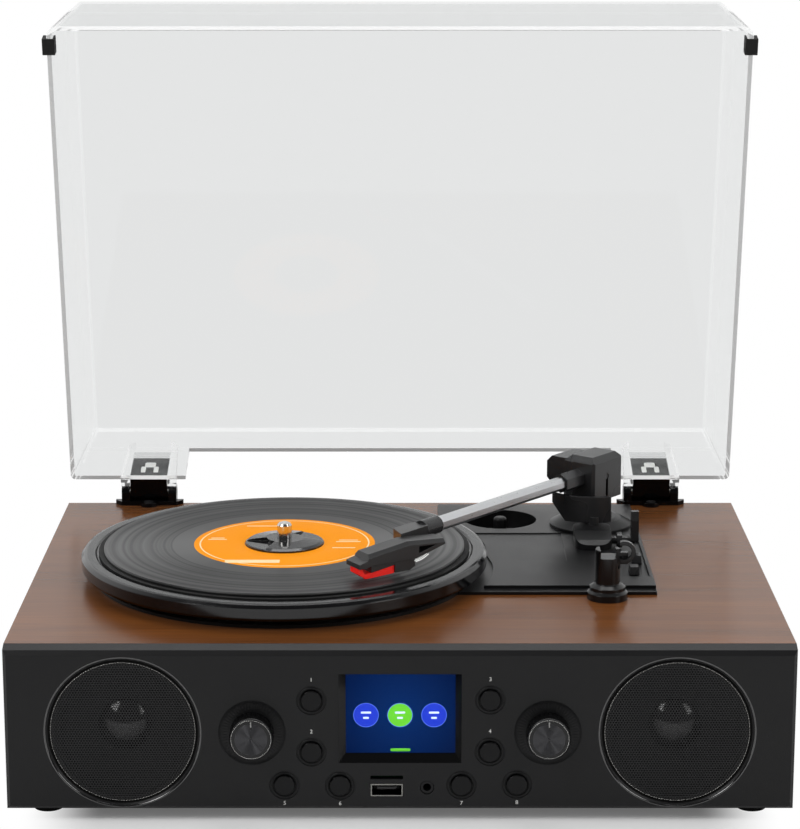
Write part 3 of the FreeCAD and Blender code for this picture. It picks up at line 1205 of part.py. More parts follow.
wood_cabinet()
bottom_cover()
feet()
case_screws()
rear_panel()
front_panel()
for name, sign in SIDES.items():
    speaker_grille(name, sign)
    speaker(name, sign)
display_lens()
display_module()
for label, sign in (("volume", -1), ("tune", 1)):
    knob(label + "_knob", sign)
    knob_shaft(label + "_shaft", sign)
for label, (x, z) in BUTTONS.items():
    button(label, x, z)
control_board()
usb_port()
aux_jack()
chassis_plate()
platter()
slip_mat()
record()
adapter_45()
spindle()
bearing_bush()
motor()
motor_pulley()
drive_belt()
arm_turret()
arm_yoke()
arm_block()
arm_tube()
headshell()
cartridge()
stylus()
arm_lifter()
cue_housing()
cue_lever()
arm_rest()
arm_clip()
slide_switch("speed_switch", "speed_x", "speed_y")
slide_switch("autostop_switch", "stop_x", "stop_y")
dust_cover()
lid_bumpers()
hinge_bases()
hinge_pins()
hinge_leaves()
main_board()
line_out_sockets()
dc_inlet()
doc.recompute()

for made in doc.Objects:
    if "Invalid" in made.State or "Error" in made.State:
        raise RuntimeError("%s failed: %s" % (made.Label, made.State))
for made in pieces:
    if made.Shape.isNull() or not made.Shape.isValid():
        raise RuntimeError("%s has no valid shape" % made.Label)

os.makedirs("parts", exist_ok=True)
for made in pieces:
    made.Shape.exportStep("parts/%s.step" % made.Label)
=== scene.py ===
import math

import bpy
import numpy as np
from mathutils import Matrix, Vector


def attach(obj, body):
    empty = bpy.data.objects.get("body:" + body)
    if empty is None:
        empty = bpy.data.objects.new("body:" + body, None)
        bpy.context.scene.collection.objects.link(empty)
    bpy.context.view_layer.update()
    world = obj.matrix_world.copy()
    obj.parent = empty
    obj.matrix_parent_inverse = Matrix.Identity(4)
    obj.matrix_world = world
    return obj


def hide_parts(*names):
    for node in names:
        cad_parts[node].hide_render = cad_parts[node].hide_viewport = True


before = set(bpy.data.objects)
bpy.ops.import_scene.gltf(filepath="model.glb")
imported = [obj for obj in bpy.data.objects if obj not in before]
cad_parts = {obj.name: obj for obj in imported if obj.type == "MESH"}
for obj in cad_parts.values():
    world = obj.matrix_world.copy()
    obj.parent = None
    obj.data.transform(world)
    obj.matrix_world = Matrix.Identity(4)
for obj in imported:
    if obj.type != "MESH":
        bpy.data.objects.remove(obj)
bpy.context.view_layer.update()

# Places taken from the part, in millimetres from the deck's front top edge, and angles about them
DECK = np.array([0.0, -137.965, 82.4])
PANEL_FRONT = -6.0
CONTROL_ROW = -40.0
SPEAKER_X = 124.5
KNOB_X = 66.4
PLATTER = np.array([-56.2, 114.0])
RECORD_TOP = 15.0
PIVOT = np.array([98.2, 193.0])
ARM_ANGLE = math.radians(-128.88)
SHELL_ANGLE = math.radians(-128.88 - 18.8)
ARM_LENGTH = 185.6
LID_AXIS = np.array([247.0, 6.5])
LID_ANGLE = math.radians(-78)
HINGE_X = 134.0
HINGE_SCREW = (242.2, 2.2)
BUTTONS = {
    "power_button": (-39.7, -24.8), "mode_button": (-39.8, -49.1),
    "menu_button": (40.4, -24.5), "preset_button": (40.4, -48.9),
    "playback_button": (-52.0, -64.8), "record_button": (-27.0, -65.0),
    "alarm_button": (27.7, -64.8), "scan_button": (52.7, -64.5),
}

# Levels out from the panel's face: where a knob's front begins, and the screen
KNOB_FRONT = 9.0
SCREEN_FACE = -4.4

# Levels up from the hinge in the closed lid: below the first is its rim, the second is its notch's edge
LID_RIM = -5.2
LID_NOTCH = 24.0

# The closed lid's upward direction, turned to where it stands open
LID_UP = (0.0, -math.sin(LID_ANGLE), math.cos(LID_ANGLE))


# Frames: each turns millimetres of its own frame into metres of the part's frame

def on_deck(points):
    """X to the right, Y to the back and Z up, from the middle of the deck's front top edge."""
    return (np.asarray(points, float) + DECK) / 1000


def on_front(points):
    """X to the right, Y up from the deck, Z out of the panel's front face."""
    p = np.asarray(points, float)
    return on_deck(np.stack([p[..., 0], PANEL_FRONT - p[..., 2], p[..., 1]], -1))


def on_platter(points):
    """Z up from the deck, X and Y from the spindle."""
    return on_deck(np.asarray(points, float) + [*PLATTER, 0])


def on_shell(points):
    """The headshell's own frame: origin over the stylus, X towards the nose, Z up from the deck."""
    p = np.asarray(points, float)
    tip = PIVOT + ARM_LENGTH * np.array([math.cos(ARM_ANGLE), math.sin(ARM_ANGLE)])
    c, s = math.cos(SHELL_ANGLE), math.sin(SHELL_ANGLE)
    x = tip[0] + c * p[..., 0] - s * p[..., 1]
    y = tip[1] + s * p[..., 0] + c * p[..., 1]
    return on_deck(np.stack([x, y, p[..., 2]], -1))


def on_lid(points):
    """X along the hinge, Y to the back and Z up with the lid closed, turned to where it stands open."""
    p = np.asarray(points, float)
    c, s = math.cos(LID_ANGLE), math.sin(LID_ANGLE)
    y = LID_AXIS[0] + c * p[..., 1] - s * p[..., 2]
    z = LID_AXIS[1] + s * p[..., 1] + c * p[..., 2]
    return on_deck(np.stack([p[..., 0], y, z], -1))


# Meshes

def mesh_piece(name, points, faces, body, material, smooth=True):
    """A piece from its vertices and faces, riding on a body."""
    mesh = bpy.data.meshes.new(name)
    mesh.from_pydata(points.tolist(), [], faces.tolist())
    mesh.polygons.foreach_set("use_smooth", np.full(len(mesh.polygons), smooth))
    mesh.materials.append(material)
    mesh.update()
    made = bpy.data.objects.new(name, mesh)
    bpy.context.scene.collection.objects.link(made)
    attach(made, body)
    return made


def grid_faces(rows, columns, wrap_rows, wrap_columns):
    """Quads of a grid of rows by columns, closed round either way."""
    i, j = np.meshgrid(np.arange(rows if wrap_rows else rows - 1),
                       np.arange(columns if wrap_columns else columns - 1), indexing="ij")
    here, below = i * columns, (i + 1) % rows * columns
    right = (j + 1) % columns
    return np.stack([here + j, here + right, below + right, below + j], -1).reshape(-1, 4)


def sheet_piece(name, points, body, material, wrap_rows=False, wrap_columns=False, flip=False):
    """A surface given as a grid of points, rows by columns by three."""
    rows, columns = points.shape[:2]
    faces = grid_faces(rows, columns, wrap_rows, wrap_columns)
    return mesh_piece(name, points.reshape(-1, 3), faces[:, ::-1] if flip else faces, body, material)


def turned_profile(radii, heights, count):
    """A profile of radius and height carried round the Z axis: columns run round, rows along it."""
    angle = np.linspace(0, 2 * math.pi, count, endpoint=False)
    r, h = np.asarray(radii, float)[:, None], np.asarray(heights, float)[:, None]
    return np.stack([r * np.cos(angle), r * np.sin(angle), h + 0 * angle], -1)


def bead_profile(radius, thickness, lift, steps=12):
    """A round bead: a small circle of that thickness, its middle at the radius and the lift."""
    angle = np.linspace(0, 2 * math.pi, steps, endpoint=False)
    return radius + thickness * np.cos(angle), lift + thickness * np.sin(angle)


def beaded_ring(reach, lift, thick, turn):
    """A ring whose thickness changes round its angle: a small circle of eight points carried round."""
    around = np.linspace(0, 2 * math.pi, 8, endpoint=False)[:, None]
    radius = reach + thick * np.cos(around)
    return np.stack([radius * np.cos(turn), radius * np.sin(turn), lift + thick * np.sin(around)], -1)


def pipe(path, radius, sides):
    """A round profile carried along a path: the rings stand square to the path's own direction."""
    along = np.gradient(path, axis=0)
    along /= np.linalg.norm(along, axis=1, keepdims=True)
    # A direction that no path here runs along
    aside = np.array([0.3, 0.2, 0.93])
    side = np.cross(along, aside)
    side /= np.linalg.norm(side, axis=1, keepdims=True)
    up = np.cross(side, along)
    angle = np.linspace(0, 2 * math.pi, sides, endpoint=False)
    ring = side[:, None] * np.cos(angle)[:, None] + up[:, None] * np.sin(angle)[:, None]
    return path[:, None] + radius * ring


def slab(middle, width, height, low, high):
    """A low slab with rounded corners: a superellipse as its outline, drawn in to its middle on top."""
    count, power = 40, 0.3
    angle = np.linspace(0, 2 * math.pi, count, endpoint=False)
    across, up = np.cos(angle), np.sin(angle)
    outline = np.stack([np.sign(across) * np.abs(across) ** power * width / 2,
                        np.sign(up) * np.abs(up) ** power * height / 2], -1)
    shrink = np.array([0.01, 0.94, 1.0])[:, None, None]
    lift = np.broadcast_to(np.array([high, high, low])[:, None, None], (3, count, 1))
    return np.concatenate([outline[None] * shrink + np.asarray(middle, float), lift], -1)


# Materials

# Sockets that carry colours on a Mix node: two inputs and the output
COLOUR_A, COLOUR_B, MIXED = 6, 7, 2


def linear(hex_colour):
    """An sRGB hex colour as linear light, with full alpha."""
    values = np.array([int(hex_colour[i:i + 2], 16) / 255 for i in (1, 3, 5)])
    light = np.where(values <= 0.04045, values / 12.92, ((values + 0.055) / 1.055) ** 2.4)
    return (*light.tolist(), 1.0)


def put(tree, kind, links=None, **settings):
    """Add a node with its settings; links feed its inputs from a value or another node's output."""
    made = tree.nodes.new(kind)
    for name, value in settings.items():
        setattr(made, name, value)
    for name, source in (links or {}).items():
        if isinstance(source, bpy.types.NodeSocket):
            tree.links.new(source, made.inputs[name])
        else:
            made.inputs[name].default_value = source
    return made


def start(name, colour, **sockets):
    """A new material with its shader's plain values set, its tree, shader and Object coordinates."""
    material = bpy.data.materials.new(name)
    material.use_nodes = True
    tree = material.node_tree
    shader = tree.nodes["Principled BSDF"]
    shader.inputs["Base Color"].default_value = linear(colour)
    for socket, value in sockets.items():
        shader.inputs[socket.replace("_", " ")].default_value = value
    place = put(tree, "ShaderNodeTexCoord").outputs["Object"]
    return material, tree, shader, place


def moulded(name, colour, grain_mm, grain_height, roughness, spread, bevel_mm=0.35, **sockets):
    """Moulded plastic, rubber or paint: fine grain in the surface, a little wander in the gloss over
    areas of about 55 mm, and edges eased by a small radius that catch the light."""
    material, tree, shader, place = start(name, colour, **sockets)
    eased = put(tree, "ShaderNodeBevel", {"Radius": bevel_mm / 1000}, samples=4)
    grain = put(tree, "ShaderNodeTexNoise", {"Vector": place, "Scale": 1000 / grain_mm, "Detail": 2.0})
    bump = put(tree, "ShaderNodeBump", {"Height": grain.outputs["Fac"], "Normal": eased.outputs["Normal"],
                                        "Strength": grain_height, "Distance": 0.0002})
    drift = put(tree, "ShaderNodeTexNoise", {"Vector": place, "Scale": 18.0, "Detail": 3.0})
    gloss = put(tree, "ShaderNodeMapRange", {
        "Value": drift.outputs["Fac"], "From Min": 0.3, "From Max": 0.7,
        "To Min": roughness - spread, "To Max": roughness + spread})
    tree.links.new(gloss.outputs["Result"], shader.inputs["Roughness"])
    tree.links.new(bump.outputs["Normal"], shader.inputs["Normal"])
    return material


def walnut_veneer():
    """Walnut veneer under satin lacquer: long fine pores and a slow brown figure, running along X over
    the top and down the sides; the lacquer gives a soft sheen at low angles."""
    material, tree, shader, place = start(
        "lacquered_walnut_veneer", "#6a3a10", Roughness=0.24, IOR=1.5, Specular_IOR_Level=0.3,
        Sheen_Weight=0.3, Sheen_Roughness=0.35, Sheen_Tint=linear("#f0b088"))
    axes = put(tree, "ShaderNodeSeparateXYZ", {"Vector": place})
    along = put(tree, "ShaderNodeMath", {0: axes.outputs["X"], 1: axes.outputs["Z"]}, operation="ADD")
    flow = put(tree, "ShaderNodeCombineXYZ", {"X": along.outputs[0], "Y": axes.outputs["Y"]})
    # Pores about 1 mm wide and 40 mm long
    fine = put(tree, "ShaderNodeMapping", {"Vector": flow.outputs[0], "Scale": (25, 1000, 1)})
    pores = put(tree, "ShaderNodeTexNoise", {
        "Vector": fine.outputs[0], "Scale": 1.0, "Detail": 3.0, "Roughness": 0.6})
    # Figure about 18 mm wide and 300 mm long
    broad = put(tree, "ShaderNodeMapping", {"Vector": flow.outputs[0], "Scale": (3.4, 55, 1)})
    figure = put(tree, "ShaderNodeTexNoise", {
        "Vector": broad.outputs[0], "Scale": 1.0, "Detail": 4.0, "Distortion": 0.6})
    tone = put(tree, "ShaderNodeMapRange", {
        "Value": figure.outputs["Fac"], "From Min": 0.3, "From Max": 0.7})
    ground = put(tree, "ShaderNodeMix", {
        "Factor": tone.outputs[0], COLOUR_A: linear("#552d09"), COLOUR_B: linear("#6c3c10")},
        data_type="RGBA")
    streak = put(tree, "ShaderNodeMapRange", {
        "Value": pores.outputs["Fac"], "From Min": 0.36, "From Max": 0.6, "To Min": 0.4, "To Max": 0.0})
    wood = put(tree, "ShaderNodeMix", {
        "Factor": streak.outputs[0], COLOUR_A: ground.outputs[MIXED], COLOUR_B: linear("#361b06")},
        data_type="RGBA")
    eased = put(tree, "ShaderNodeBevel", {"Radius": 0.0006}, samples=4)
    bump = put(tree, "ShaderNodeBump", {
        "Height": pores.outputs["Fac"], "Normal": eased.outputs[0], "Strength": 0.012, "Distance": 0.0001})
    tree.links.new(wood.outputs[MIXED], shader.inputs["Base Color"])
    tree.links.new(bump.outputs[0], shader.inputs["Normal"])
    return material


def round_texture(name, colour, centre, plane, period_mm, height, **sockets):
    """A turned, pressed or spun face: fine rings about a centre, in the plane whose axes are marked with
    ones, keep the light narrow along them and spread it across, so that it lies in fans. The true rings
    are too fine to show, so they are drawn at the period given."""
    material, tree, shader, place = start(name, colour, Anisotropic_Rotation=0.25, **sockets)
    moved = put(tree, "ShaderNodeVectorMath", {0: place, 1: tuple(centre)}, operation="SUBTRACT")
    flat = put(tree, "ShaderNodeVectorMath", {0: moved.outputs[0], 1: plane}, operation="MULTIPLY")
    reach = put(tree, "ShaderNodeVectorMath", {0: flat.outputs[0]}, operation="LENGTH").outputs["Value"]
    turns = put(tree, "ShaderNodeMath", {0: reach, 1: 2000 * math.pi / period_mm}, operation="MULTIPLY")
    rings = put(tree, "ShaderNodeMath", {0: turns.outputs[0]}, operation="SINE")
    bump = put(tree, "ShaderNodeBump", {
        "Height": rings.outputs[0], "Strength": height, "Distance": 0.00005})
    # The way round the axis: square to the axis and to the radius
    axis = tuple(1.0 - share for share in plane)
    around = put(tree, "ShaderNodeVectorMath", {0: flat.outputs[0], 1: axis}, operation="CROSS_PRODUCT")
    even = put(tree, "ShaderNodeVectorMath", {0: around.outputs[0]}, operation="NORMALIZE")
    tree.links.new(bump.outputs[0], shader.inputs["Normal"])
    tree.links.new(even.outputs[0], shader.inputs["Tangent"])
    return material, tree, shader, reach


def pressed_vinyl():
    """Pressed black vinyl: grooves spread the light outwards from the spindle and keep it narrow along
    them, so it lies in fans; smoother silent bands about 3 mm wide part the tracks."""
    material, tree, shader, reach = round_texture(
        "pressed_vinyl", "#0b0b0c", on_platter([0, 0, RECORD_TOP]), (1, 1, 0), 1.1, 0.03,
        IOR=1.52, Anisotropic=0.85)
    tracks = put(tree, "ShaderNodeTexNoise", {"W": reach, "Scale": 330.0, "Detail": 2.0},
                 noise_dimensions="1D")
    groove = put(tree, "ShaderNodeMapRange", {
        "Value": tracks.outputs["Fac"], "From Min": 0.35, "From Max": 0.65, "To Min": 0.3, "To Max": 0.46})
    # The run-out between the label and the last groove, 44 to 54 mm, is smooth
    played = put(tree, "ShaderNodeMath", {0: reach, 1: 0.054}, operation="GREATER_THAN")
    band = put(tree, "ShaderNodeMix", {"Factor": played.outputs[0], "A": 0.3, "B": groove.outputs[0]})
    tree.links.new(band.outputs[0], shader.inputs["Roughness"])
    return material


# Plain bars on the label, in millimetres from the spindle: middle and half sizes
LABEL_BARS = [
    (-14, -33, 13, 2.6), (-33, 6, 4.5, 0.6), (-33, 8.5, 3.2, 0.6), (31, 2, 6, 0.6),
    (31, 4.8, 4.6, 0.6), (29, -9, 5.5, 0.6), (-12, 31, 8, 0.6),
]


def printed_label():
    """Coated paper printed in two inks: orange, with a thin cream ring and a few plain cream bars."""
    material, tree, shader, place = start("printed_paper_label", "#f09a1e", Roughness=0.55,
                                          Specular_IOR_Level=0.06)
    spindle = tuple(on_platter([0, 0, RECORD_TOP]))
    moved = put(tree, "ShaderNodeVectorMath", {0: place, 1: spindle}, operation="SUBTRACT")
    flat = put(tree, "ShaderNodeVectorMath", {0: moved.outputs[0], 1: (1, 1, 0)}, operation="MULTIPLY")
    reach = put(tree, "ShaderNodeVectorMath", {0: flat.outputs[0]}, operation="LENGTH")
    # Ring 0.7 mm wide at a radius of 41 mm
    away = put(tree, "ShaderNodeMath", {0: reach.outputs["Value"], 1: 0.041}, operation="SUBTRACT")
    size = put(tree, "ShaderNodeMath", {0: away.outputs[0]}, operation="ABSOLUTE")
    printed = put(tree, "ShaderNodeMath", {0: size.outputs[0], 1: 0.00035}, operation="LESS_THAN")
    for x, y, half_x, half_y in LABEL_BARS:
        offset = put(tree, "ShaderNodeVectorMath", {0: flat.outputs[0], 1: (x / 1000, y / 1000, 0)},
                     operation="SUBTRACT")
        span = put(tree, "ShaderNodeVectorMath", {0: offset.outputs[0]}, operation="ABSOLUTE")
        share = put(tree, "ShaderNodeVectorMath", {
            0: span.outputs[0], 1: (1000 / half_x, 1000 / half_y, 0)}, operation="MULTIPLY")
        axes = put(tree, "ShaderNodeSeparateXYZ", {"Vector": share.outputs[0]})
        worst = put(tree, "ShaderNodeMath", {0: axes.outputs["X"], 1: axes.outputs["Y"]},
                    operation="MAXIMUM")
        bar = put(tree, "ShaderNodeMath", {0: worst.outputs[0], 1: 1.0}, operation="LESS_THAN")
        printed = put(tree, "ShaderNodeMath", {0: printed.outputs[0], 1: bar.outputs[0]},
                      operation="MAXIMUM")
    # Paper fibre about 1 mm across
    fibre = put(tree, "ShaderNodeTexNoise", {"Vector": place, "Scale": 900.0, "Detail": 3.0})
    tint = put(tree, "ShaderNodeMix", {
        "Factor": fibre.outputs["Fac"], COLOUR_A: linear("#f08e04"), COLOUR_B: linear("#f59a0a")},
        data_type="RGBA")
    ink = put(tree, "ShaderNodeMix", {
        "Factor": printed.outputs[0], COLOUR_A: tint.outputs[MIXED], COLOUR_B: linear("#f3d7a8")},
        data_type="RGBA")
    tree.links.new(ink.outputs[MIXED], shader.inputs["Base Color"])
    return material


def brushed_metal(name, colour, hairlines, roughness, deep=None):
    """Drawn or brushed metal: hairlines, counted to the metre along each axis, that blur the reflections
    one way. Behind the level given, in a socket, the colour turns dark: painted shade, as little light
    comes back there."""
    material, tree, shader, place = start(name, colour, Metallic=1.0)
    lines = put(tree, "ShaderNodeMapping", {"Vector": place, "Scale": hairlines})
    hair = put(tree, "ShaderNodeTexNoise", {"Vector": lines.outputs[0], "Scale": 1.0, "Detail": 3.0})
    gloss = put(tree, "ShaderNodeMapRange", {
        "Value": hair.outputs["Fac"], "To Min": roughness * 0.7, "To Max": roughness * 1.4})
    bump = put(tree, "ShaderNodeBump", {
        "Height": hair.outputs["Fac"], "Strength": 0.06, "Distance": 0.0001})
    tree.links.new(gloss.outputs[0], shader.inputs["Roughness"])
    tree.links.new(bump.outputs[0], shader.inputs["Normal"])
    if deep is not None:
        # Painted shade: behind the level given the metal's colour turns dark grey
        axes = put(tree, "ShaderNodeSeparateXYZ", {"Vector": place})
        behind = put(tree, "ShaderNodeMath", {0: axes.outputs["Y"], 1: deep}, operation="GREATER_THAN")
        shade = put(tree, "ShaderNodeMix", {
            "Factor": behind.outputs[0], COLOUR_A: linear(colour), COLOUR_B: linear("#141414")},
            data_type="RGBA")
        tree.links.new(shade.outputs[MIXED], shader.inputs["Base Color"])
    return material


def clear_moulding(name, colour, roughness, ior):
    """Clear moulded plastic: polished faces with the faintest haze of handling, in areas of 40 mm."""
    material, tree, shader, place = start(name, colour, IOR=ior, Transmission_Weight=1.0)
    wipe = put(tree, "ShaderNodeTexNoise", {"Vector": place, "Scale": 25.0, "Detail": 5.0})
    haze = put(tree, "ShaderNodeMapRange", {
        "Value": wipe.outputs["Fac"], "From Min": 0.45, "From Max": 0.8,
        "To Min": roughness, "To Max": roughness + 0.02})
    tree.links.new(haze.outputs[0], shader.inputs["Roughness"])
    return material, tree, shader, place


def lid_acrylic():
    """Clear moulded acrylic of the lid. The rim and the edge of the notch are satin white bands with a
    painted glow, standing in for the light a cut edge gathers inside the sheet, and walls seen at a low
    angle get a little painted glow."""
    glow = 0.12
    material, tree, shader, place = clear_moulding("clear_moulded_acrylic", "#e4e5e5", 0.0, 1.2)
    hinge = tuple(on_lid([0, 0, 0]))
    moved = put(tree, "ShaderNodeVectorMath", {0: place, 1: hinge}, operation="SUBTRACT")
    height = put(tree, "ShaderNodeVectorMath", {0: moved.outputs[0], 1: LID_UP},
                 operation="DOT_PRODUCT").outputs["Value"]
    front = put(tree, "ShaderNodeMath", {0: height, 1: LID_RIM / 1000}, operation="LESS_THAN")
    notch = put(tree, "ShaderNodeMath", {0: height, 1: LID_NOTCH / 1000, 2: 0.0001}, operation="COMPARE")
    rim = put(tree, "ShaderNodeMath", {0: front.outputs[0], 1: notch.outputs[0]}, operation="MAXIMUM")
    clear = put(tree, "ShaderNodeMapRange", {"Value": rim.outputs[0], "To Min": 1.0, "To Max": 0.6})
    # Painted glow: walls seen at a low angle, the rim and the notch's edge give out light of their own
    low = put(tree, "ShaderNodeLayerWeight", {"Blend": 0.5})
    steep = put(tree, "ShaderNodeMath", {0: low.outputs["Facing"], 1: 4.0}, operation="POWER")
    carried = put(tree, "ShaderNodeMath", {0: steep.outputs[0], 1: glow}, operation="MULTIPLY")
    light = put(tree, "ShaderNodeMath", {0: rim.outputs[0], 1: glow, 2: carried.outputs[0]},
                operation="MULTIPLY_ADD")
    tree.links.new(clear.outputs[0], shader.inputs["Transmission Weight"])
    tree.links.new(light.outputs[0], shader.inputs["Emission Strength"])
    shader.inputs["Emission Color"].default_value = (1, 1, 1, 1)
    return material


def lit_screen():
    """Lit colour display: deep blue, a little brighter in the middle."""
    material, tree, shader, place = start("lit_display_panel", "#020d24", Roughness=0.4,
                                          Specular_IOR_Level=0.1, Emission_Strength=1.0)
    middle = tuple(on_front([0.25, -32, 0]))
    moved = put(tree, "ShaderNodeVectorMath", {0: place, 1: middle}, operation="SUBTRACT")
    reach = put(tree, "ShaderNodeVectorMath", {0: moved.outputs[0]}, operation="LENGTH")
    # The light falls off from 4 to 32 mm out
    fall = put(tree, "ShaderNodeMapRange", {
        "Value": reach.outputs["Value"], "From Min": 0.004, "From Max": 0.032})
    glow = put(tree, "ShaderNodeMix", {
        "Factor": fall.outputs[0], COLOUR_A: linear("#0a2e6a"), COLOUR_B: linear("#041844")},
        data_type="RGBA")
    tree.links.new(glow.outputs[MIXED], shader.inputs["Emission Color"])
    return material


def lit_mark(name, colour):
    """A lit area of the screen: one colour, a little paler in patches of about 4 mm."""
    material, tree, shader, place = start(name, colour, Roughness=0.4, Specular_IOR_Level=0.1,
                                          Emission_Strength=0.62)
    patches = put(tree, "ShaderNodeTexNoise", {"Vector": place, "Scale": 260.0, "Detail": 1.0})
    paler = tuple(min(1.0, value * 1.15 + 0.01) for value in linear(colour)[:3])
    glow = put(tree, "ShaderNodeMix", {
        "Factor": patches.outputs["Fac"], COLOUR_A: linear(colour), COLOUR_B: (*paler, 1.0)},
        data_type="RGBA")
    tree.links.new(glow.outputs[MIXED], shader.inputs["Emission Color"])
    return material


def spun_aluminium(name, x):
    """Dark spun aluminium of a knob's front: rings about the knob's middle draw the light into fans."""
    return round_texture(name, "#4c4c4e", on_front([x, CONTROL_ROW, 0]), (1, 0, 1), 0.35, 0.1,
                         Metallic=1.0, Roughness=0.42, Anisotropic=1.0)[0]


# A moulded finish gives its grain in millimetres, the grain's height, the roughness and its wander
FINISH = {
    "veneer": walnut_veneer(),
    # Satin black with a soft even sheen
    "front": moulded("satin_moulded_abs", "#131314", 0.45, 0.25, 0.42, 0.04, Specular_IOR_Level=0.28),
    "deck": moulded("fine_moulded_abs", "#111112", 0.5, 0.3, 0.36, 0.05, Specular_IOR_Level=0.27),
    # Black gloss of several grades, with small clear lights along the eased edges
    "arm": moulded("semi_gloss_moulded_abs", "#222223", 0.6, 0.15, 0.28, 0.05, Specular_IOR_Level=0.55),
    "post": moulded("glossy_moulded_post", "#0e0e0f", 0.7, 0.03, 0.2, 0.04, bevel_mm=0.5,
                    Specular_IOR_Level=0.45),
    "gloss": moulded("polished_moulded_abs", "#070708", 0.8, 0.03, 0.18, 0.03, bevel_mm=0.25,
                     Specular_IOR_Level=0.24),
    "adapter": moulded("polished_moulded_adapter", "#19191a", 1.5, 0.01, 0.1, 0.03, bevel_mm=0.4,
                       Specular_IOR_Level=0.6),
    "lip": moulded("lacquered_trim_edge", "#050506", 1.5, 0.01, 0.06, 0.02, bevel_mm=0.0, IOR=2.0),
    "frame": moulded("gloss_window_bevel", "#060607", 1.5, 0.01, 0.14, 0.03, bevel_mm=0.3,
                     Specular_IOR_Level=0.35),
    "smooth_gloss": moulded("polished_button_face", "#0e0e0f", 0.8, 0.01, 0.2, 0.03, bevel_mm=0.0,
                            Specular_IOR_Level=0.18),
    "knob": moulded("fluted_moulded_abs", "#0a0a0b", 0.5, 0.1, 0.25, 0.05, bevel_mm=0.15,
                    Specular_IOR_Level=0.4),
    "steel_sheet": moulded("lacquered_punched_steel", "#161617", 0.4, 0.1, 0.32, 0.05, bevel_mm=0.0,
                           Specular_IOR_Level=0.4),
    "dome": moulded("lacquered_paper_dome", "#0d0d0e", 0.9, 0.02, 0.12, 0.03, IOR=1.9),
    "platter": moulded("painted_cast_platter", "#08080a", 0.9, 0.015, 0.13, 0.03, bevel_mm=0.7,
                       Specular_IOR_Level=0.55),
    # Matt black and dark grey, with hardly a highlight
    # The recess slope round each grille is blacker than the panel: painted shade
    "shade": moulded("recess_painted_shade_black", "#040404", 0.6, 0.1, 0.55, 0.05, bevel_mm=0.0,
                     Specular_IOR_Level=0.1),
    "cone": moulded("pressed_paper_cone", "#151516", 0.9, 0.5, 0.6, 0.08, IOR=1.4),
    "rubber": moulded("matt_moulded_rubber", "#141414", 0.5, 0.5, 0.7, 0.08, Specular_IOR_Level=0.3),
    "fibreboard": moulded("painted_fibreboard", "#19191a", 1.2, 0.4, 0.6, 0.08, IOR=1.45),
    # Colours: green lacquer, a red with a painted glow, flat white and grey inks, and pale marks with a
    # painted glow
    "circuit": moulded("lacquered_circuit_board", "#12512c", 1.5, 0.1, 0.35, 0.05, IOR=1.5),
    # The stylus's red glow is painted light that lifts it in the shade under the headshell
    "red": moulded("red_polystyrene_painted_glow", "#ff1a0e", 0.7, 0.04, 0.22, 0.04, bevel_mm=0.2,
                   Emission_Strength=0.14, Emission_Color=linear("#d0140c")),
    "paint": moulded("screen_printed_white_ink", "#d9d9d6", 0.3, 0.05, 0.5, 0.04, bevel_mm=0.02, IOR=1.5),
    "grey_paint": moulded("printed_grey_ink", "#8d8d8b", 0.3, 0.05, 0.45, 0.04, bevel_mm=0.0, IOR=1.5),
    # Pale marks and leads glow faintly: painted light that keeps them pale in shade
    "mark": moulded("pale_mark_painted_glow", "#e2e2de", 0.5, 0.05, 0.5, 0.04, bevel_mm=0.0,
                    Emission_Strength=0.3, Emission_Color=linear("#ffffff")),
    "vinyl": pressed_vinyl(),
    "label": printed_label(),
    "tube": brushed_metal("drawn_aluminium_tube", "#d2d3d5", (120, 120, 1500), 0.3),
    "chrome": brushed_metal("polished_steel", "#d8d7d4", (300, 300, 900), 0.12),
    "tin": brushed_metal("tinned_steel", "#b9b8b4", (900, 200, 900), 0.25),
    "socket": brushed_metal("tinned_socket_shell", "#8f8e8a", (900, 200, 900), 0.3,
                            on_front([0, 0, -0.5])[1]),
    "brass": brushed_metal("turned_brass", "#c9a45a", (200, 200, 1500), 0.25),
    "acrylic": lid_acrylic(),
    "lens": clear_moulding("clear_screen_lens", "#f4f6f6", 0.01, 1.1)[0],
    "screen": lit_screen(),
    "blue_mark": lit_mark("lit_blue_mark", "#1a33b4"),
    "green_mark": lit_mark("lit_green_mark", "#5cb82c"),
    "pale_mark": lit_mark("lit_pale_mark", "#c9d6f2"),
    "pale_blue_mark": lit_mark("lit_pale_blue_mark", "#4f70d8"),
    "spun": spun_aluminium("spun_dark_aluminium", -KNOB_X),
    "spun_right": spun_aluminium("spun_dark_aluminium_right", KNOB_X),
}

